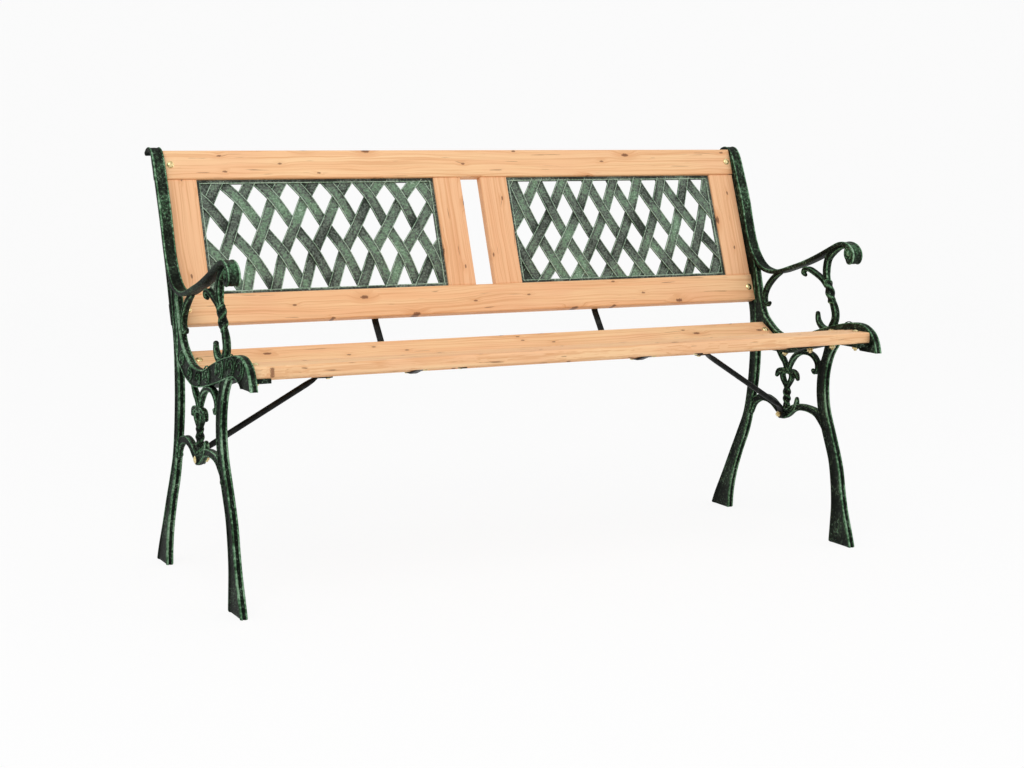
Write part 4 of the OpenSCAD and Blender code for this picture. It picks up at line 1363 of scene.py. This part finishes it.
@dataclass
class Fasteners:
    """The bolts, washers, nuts and screws of one end of the bench, in millimetres."""

    side: Side
    plating: bpy.types.Material
    bolt: float = 6.0
    head: tuple[float, float] = (13.0, 3.0)
    washer: tuple[float, float] = (13.0, 1.2)
    nut: tuple[float, float] = (10.0, 5.0)
    screw: tuple[float, float, float, float] = (4.0, 16.0, 8.0, 2.4)
    thread_out: float = 3.0
    hole_gap: float = 0.1
    seat_stack: float = 27.0
    back_stack: float = 30.0
    brace_stack: float = 17.0
    tab_t: float = 4.0
    strap_t: float = 3.5

    def bolt_profile(self, grip: float) -> list[Point]:
        """Draws a domed bolt, from its tip to its crown, with grooves cut for the thread.

        Args:
            grip: Length under the head.

        Returns:
            The rings, as height over the head's underside and radius.
        """
        r, (d, h) = self.bolt / 2, self.head
        end = -grip
        rings = [(end, r * 0.6), (end + 0.5, r * 0.82)]
        for k in range(12):
            rings += [(end + 0.8 + k, r * 0.86), (end + 1.2 + k, r * 0.99), (end + 1.5 + k, r * 0.99)]
        rings += [(-0.8, r), (0.0, r), (0.0, d / 2 - 0.3), (0.25, d / 2), (0.6, d / 2 - 0.05)]
        ball = (d * d / 4 + h * h) / (2 * h)
        for share in (0.93, 0.82, 0.68, 0.5, 0.32, 0.15, 0.03):
            radius = d / 2 * share
            rings.append((h - ball + math.sqrt(ball ** 2 - radius ** 2), radius))
        return rings

    def bolts(self, node: str, places: Sequence[Place], grip: float) -> None:
        """Makes the bolts of one node.

        Args:
            node: The node.
            places: Where the undersides of the heads lie.
            grip: Length under the head.
        """
        shell = Shell()
        for place in places:
            lathe(shell, place, self.bolt_profile(grip))
        self.give(shell, node)

    def washers(self, node: str, places: Sequence[Place]) -> None:
        """Makes the washers of one node.

        Args:
            node: The node.
            places: Where the washers' tops lie.
        """
        shell, (d, t), hole = Shell(), self.washer, self.bolt / 2 + self.hole_gap
        profile = [(0, hole), (-0.15, hole - 0.05), (-t, hole), (-t, d / 2 - 0.3), (-t + 0.25, d / 2),
                   (-0.25, d / 2), (0, d / 2 - 0.3)]
        for place in places:
            lathe(shell, place, profile, looped=True)
        self.give(shell, node)

    def nuts(self, node: str, places: Sequence[Place]) -> None:
        """Makes the nuts of one node.

        Args:
            node: The node.
            places: Where the nuts' tops lie.
        """
        shell, (flat, t), hole = Shell(), self.nut, self.bolt / 2 + self.hole_gap
        half, around = flat / 2, 24
        turn = np.linspace(0, 2 * math.pi, around, endpoint=False)
        six = 1 / np.cos((turn + math.pi / 6) % (math.pi / 3) - math.pi / 6)
        eased = np.minimum(six, 1.06)
        profile = [(-0.4, hole), (0, hole + 0.4), (0, half * 0.94), (-0.5, half * eased), (-0.9, half * six),
                   (0.9 - t, half * six), (0.5 - t, half * eased), (-t, half * 0.94), (-t, hole + 0.4),
                   (0.4 - t, hole)]
        for place in places:
            lathe(shell, place, profile, around, looped=True)
        self.give(shell, node)

    def screws(self, node: str, places: Sequence[Place], under: float) -> None:
        """Makes the wood screws of one node, with a cross cut in their heads.

        Args:
            node: The node.
            places: Where the wood's surface lies.
            under: Thickness of the steel that the heads clamp.
        """
        d, length, head_d, head_h = self.screw
        around, ridges = 32, 8
        turn = np.linspace(0, 2 * math.pi, around, endpoint=False)
        cross = 0.75 + 1.35 * np.abs(np.cos(2 * turn)) ** 6
        base, face = -under, -under - head_h
        profile = [(face + 1.3, 0.3), (face + 1.3, cross * 0.75), (face, cross), (face, head_d / 2 - 1.4),
                   (face + 0.5, head_d / 2 - 0.3), (face + 1.2, head_d / 2), (base, head_d / 2),
                   (base, d / 2)]
        for k in range(ridges):
            low = base + 3 + 1.4 * k
            profile += [(low, d / 2 * 0.8), (low + 0.5, d / 2), (low + 0.8, d / 2 * 0.82)]
        profile += [(base + length - 1.2, d / 2 * 0.6), (base + length, 0.2)]
        shell = Shell()
        for place in places:
            lathe(shell, place, profile, around)
        self.give(shell, node)

    def give(self, shell: Shell, node: str) -> None:
        """Turns the shell into a piece that stands for the node."""
        hand_over(shell.piece(f"{node}_set"), node, self.plating)

    def build(self) -> None:
        """Builds all of them."""
        name, s = self.side.name.lower(), self.side.value
        x = middle_of(f"seat_bolts_{name}").x
        slats = SeatSlat.all()
        seat = [slat.place.moved(along=x, up=slat.thickness / 2) for slat in slats]
        rails = [Board.on_back(node) for node in ("back_bottom_rail", "back_top_rail")]
        back = [rail.place.moved(along=x, up=rail.thickness / 2) for rail in rails]
        for kind, places, stack in (("seat", seat, self.seat_stack), ("back", back, self.back_stack)):
            self.bolts(f"{kind}_bolts_{name}", places, stack + self.washer[1] + self.nut[1] + self.thread_out)
            self.washers(f"{kind}_washers_{name}", [p.moved(up=-stack * MM) for p in places])
            below = (stack + self.washer[1]) * MM
            self.nuts(f"{kind}_nuts_{name}", [p.moved(up=-below) for p in places])
        low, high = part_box(f"brace_bolt_{name}")
        face = (high.x if s > 0 else low.x) - s * self.head[1] * MM
        axis = Vector((face, (low.y + high.y) / 2, (low.z + high.z) / 2))
        boss = Place(axis, Vector((0, 0, 1)), Vector((0, s, 0)), Vector((s, 0, 0)))
        self.bolts(f"brace_bolt_{name}", [boss], self.brace_stack + self.nut[1] + self.thread_out)
        self.nuts(f"brace_nut_{name}", [boss.moved(up=-self.brace_stack * MM)])
        screw = middle_of(f"brace_screw_{name}")
        screw.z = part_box(f"brace_rod_{name}")[1].z
        under = Place(screw, Vector((1, 0, 0)), Vector((0, 1, 0)), Vector((0, 0, 1)))
        self.screws(f"brace_screw_{name}", [under], self.tab_t)
        strap = middle_of(f"centre_strap_{name}").x
        places = [slat.place.moved(along=strap, up=-slat.thickness / 2) for slat in slats]
        places.append(rails[0].place.moved(along=strap, up=-rails[0].thickness / 2))
        self.screws(f"strap_screws_{name}", places, self.strap_t)


# ---------------------------------------------------------------- studio


@dataclass(frozen=True)
class Studio:
    """A pale floor that sweeps up behind the bench, soft lamps and the camera."""

    floor_half: float = 9.0
    floor_behind: float = 4.0
    sweep_radius: float = 1.5
    wall_top: float = 6.0
    floor_shade: Point = (0.90, 0.90, 0.90, 1)
    shadow_kept: float = 0.10
    world_level: float = 0.62
    key_power: float = 62.0
    fill_power: float = 16.0
    location: Point = (-1.5115, -2.9627, 0.7873)
    azimuth: float = -26.716
    elevation: float = 7.228
    roll: float = 0.313
    lens: float = 65.32
    shift: tuple[float, float] = (0.00146, -0.02526)

    def backdrop(self) -> None:
        """Makes the floor and its sweep."""
        half, behind, r = self.floor_half, self.floor_behind, self.sweep_radius
        turn = np.linspace(0, math.pi / 2, 12)
        profile = [(-half, 0.0), (0.0, 0.0), (behind, 0.0)]
        profile += [(behind + r * math.sin(a), r - r * math.cos(a)) for a in turn[1:]]
        profile += [(behind + r, self.wall_top)]
        heading = Matrix.Rotation(math.radians(self.azimuth), 3, "Z")
        points = [heading @ Vector((x, y, z)) for y, z in profile for x in (-half, half)]
        faces = [(2 * k, 2 * k + 1, 2 * k + 3, 2 * k + 2) for k in range(len(profile) - 1)]
        mesh = bpy.data.meshes.new("studio_floor")
        mesh.from_pydata([tuple(p) for p in points], [], faces)
        mesh.polygons.foreach_set("use_smooth", [True] * len(faces))
        floor = bpy.data.objects.new("studio_floor", mesh)
        bpy.context.scene.collection.objects.link(floor)
        net = Net(bpy.data.materials.new("studio_paper"))
        paper = net.node("ShaderNodeBsdfDiffuse", {}, {"Color": self.floor_shade})
        white = net.node("ShaderNodeEmission", {}, {"Color": (1, 1, 1, 1), "Strength": 1.0})
        seen = net.backdrop_seen() * (1 - self.shadow_kept)
        mixed = net.node("ShaderNodeMixShader", {}, {0: seen, 1: paper, 2: white})
        net.end(mixed, "ShaderNodeOutputMaterial")
        mesh.materials.append(net.owner)

    def lamp(self, name: str, place: Point, size: float, power: float) -> None:
        """Hangs a soft square lamp that faces the bench.

        Args:
            name: The lamp's name.
            place: Where it hangs.
            size: Its side.
            power: Its power in watts.
        """
        light = bpy.data.lights.new(name, "AREA")
        light.shape, light.size, light.energy = "SQUARE", size, power
        lamp = bpy.data.objects.new(name, light)
        at, target = Vector(place), Vector((0, 0, 0.4))
        facing = (at - target).to_track_quat("Z", "Y").to_matrix().to_4x4()
        lamp.matrix_world = Matrix.Translation(at) @ facing
        bpy.context.scene.collection.objects.link(lamp)

    def world(self) -> None:
        """Sets the even light from all around, white where it is seen."""
        net = Net(bpy.data.worlds.new("studio_air"))
        light = net.node("ShaderNodeBackground", {}, {"Color": (1, 1, 1, 1), "Strength": self.world_level})
        white = net.node("ShaderNodeBackground", {}, {"Color": (1, 1, 1, 1), "Strength": 1.0})
        mixed = net.node("ShaderNodeMixShader", {}, {0: net.backdrop_seen(), 1: light, 2: white})
        net.end(mixed, "ShaderNodeOutputWorld")
        bpy.context.scene.world = net.owner

    def camera(self) -> None:
        """Sets the camera up."""
        a, e, r = (math.radians(v) for v in (self.azimuth, self.elevation, self.roll))
        back = Vector((math.sin(a) * math.cos(e), -math.cos(a) * math.cos(e), math.sin(e)))
        level = Vector((math.cos(a), math.sin(a), 0))
        upright = level.cross(-back)
        right = level * math.cos(r) + upright * math.sin(r)
        up = upright * math.cos(r) - level * math.sin(r)
        data = bpy.data.cameras.new("studio_camera")
        data.lens, data.sensor_width = self.lens, 36.0
        data.shift_x, data.shift_y = self.shift
        data.clip_end = 60.0
        camera = bpy.data.objects.new("studio_camera", data)
        axes = Matrix((right, up, back)).transposed().to_4x4()
        camera.matrix_world = Matrix.Translation(self.location) @ axes
        bpy.context.scene.collection.objects.link(camera)
        bpy.context.scene.camera = camera

    def build(self) -> None:
        """Builds all of it."""
        self.backdrop()
        self.lamp("key_lamp", (-1.6, -2.2, 3.4), 2.4, self.key_power)
        self.lamp("fill_lamp", (2.6, -2.6, 1.8), 2.4, self.fill_power)
        self.world()
        self.camera()
        bpy.context.scene.view_settings.view_transform = "Standard"


# ---------------------------------------------------------------- the bench


@dataclass
class GardenBench:
    """The whole bench and its finishes."""

    iron: CastPaint = CastPaint("green_rubbed_iron")
    lattice: CastPaint = CastPaint(
        "grey_green_lattice", dark=(0.018, 0.026, 0.018, 1), murk=(0.125, 0.150, 0.126, 1),
        green=(0.160, 0.285, 0.170, 1), pale=(0.430, 0.560, 0.445, 1), murk_from=0.28, green_from=0.56,
        pale_from=0.88, blotch=1.5, mottle=2.1, gloss=0.22, blotch_scale=14.0, mottle_scale=260.0)
    timber: Pine = Pine("oiled_pine")
    plating: Plating = Plating("yellow_zinc")
    black: BlackPaint = BlackPaint("black_satin_paint")

    def build(self) -> None:
        """Builds every piece."""
        iron, lattice, timber = self.iron.material(), self.lattice.material(), self.timber.material()
        plating, black = self.plating.material(), self.black.material()
        for slat in SeatSlat.all():
            slat.build(timber)
        Board.on_back("back_top_rail", 0.10, (17.3, 4.1, 0.7)).build(timber)
        Board.on_back("back_bottom_rail", 0.22, (23.9, 5.3, 1.9)).build(timber)
        for k, stile in enumerate(("left_outer", "left_inner", "right_inner", "right_outer")):
            Board.on_back(f"back_stile_{stile}", 0.85, (31.0 + 2.7 * k, 7.0 + k, 2.3)).build(timber)
        for side in Side:
            EndFrame(side).build(iron)
            LatticePanel(side).build(lattice)
            BraceRod(side).build(black)
            CentreStrap(side).build(black)
            Fasteners(side, plating).build()


def main() -> None:
    """Builds the bench in the studio."""
    logging.basicConfig(level=logging.INFO, format="%(message)s")
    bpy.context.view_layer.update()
    GardenBench().build()
    Studio().build()


if __name__ == "__main__":
    main()
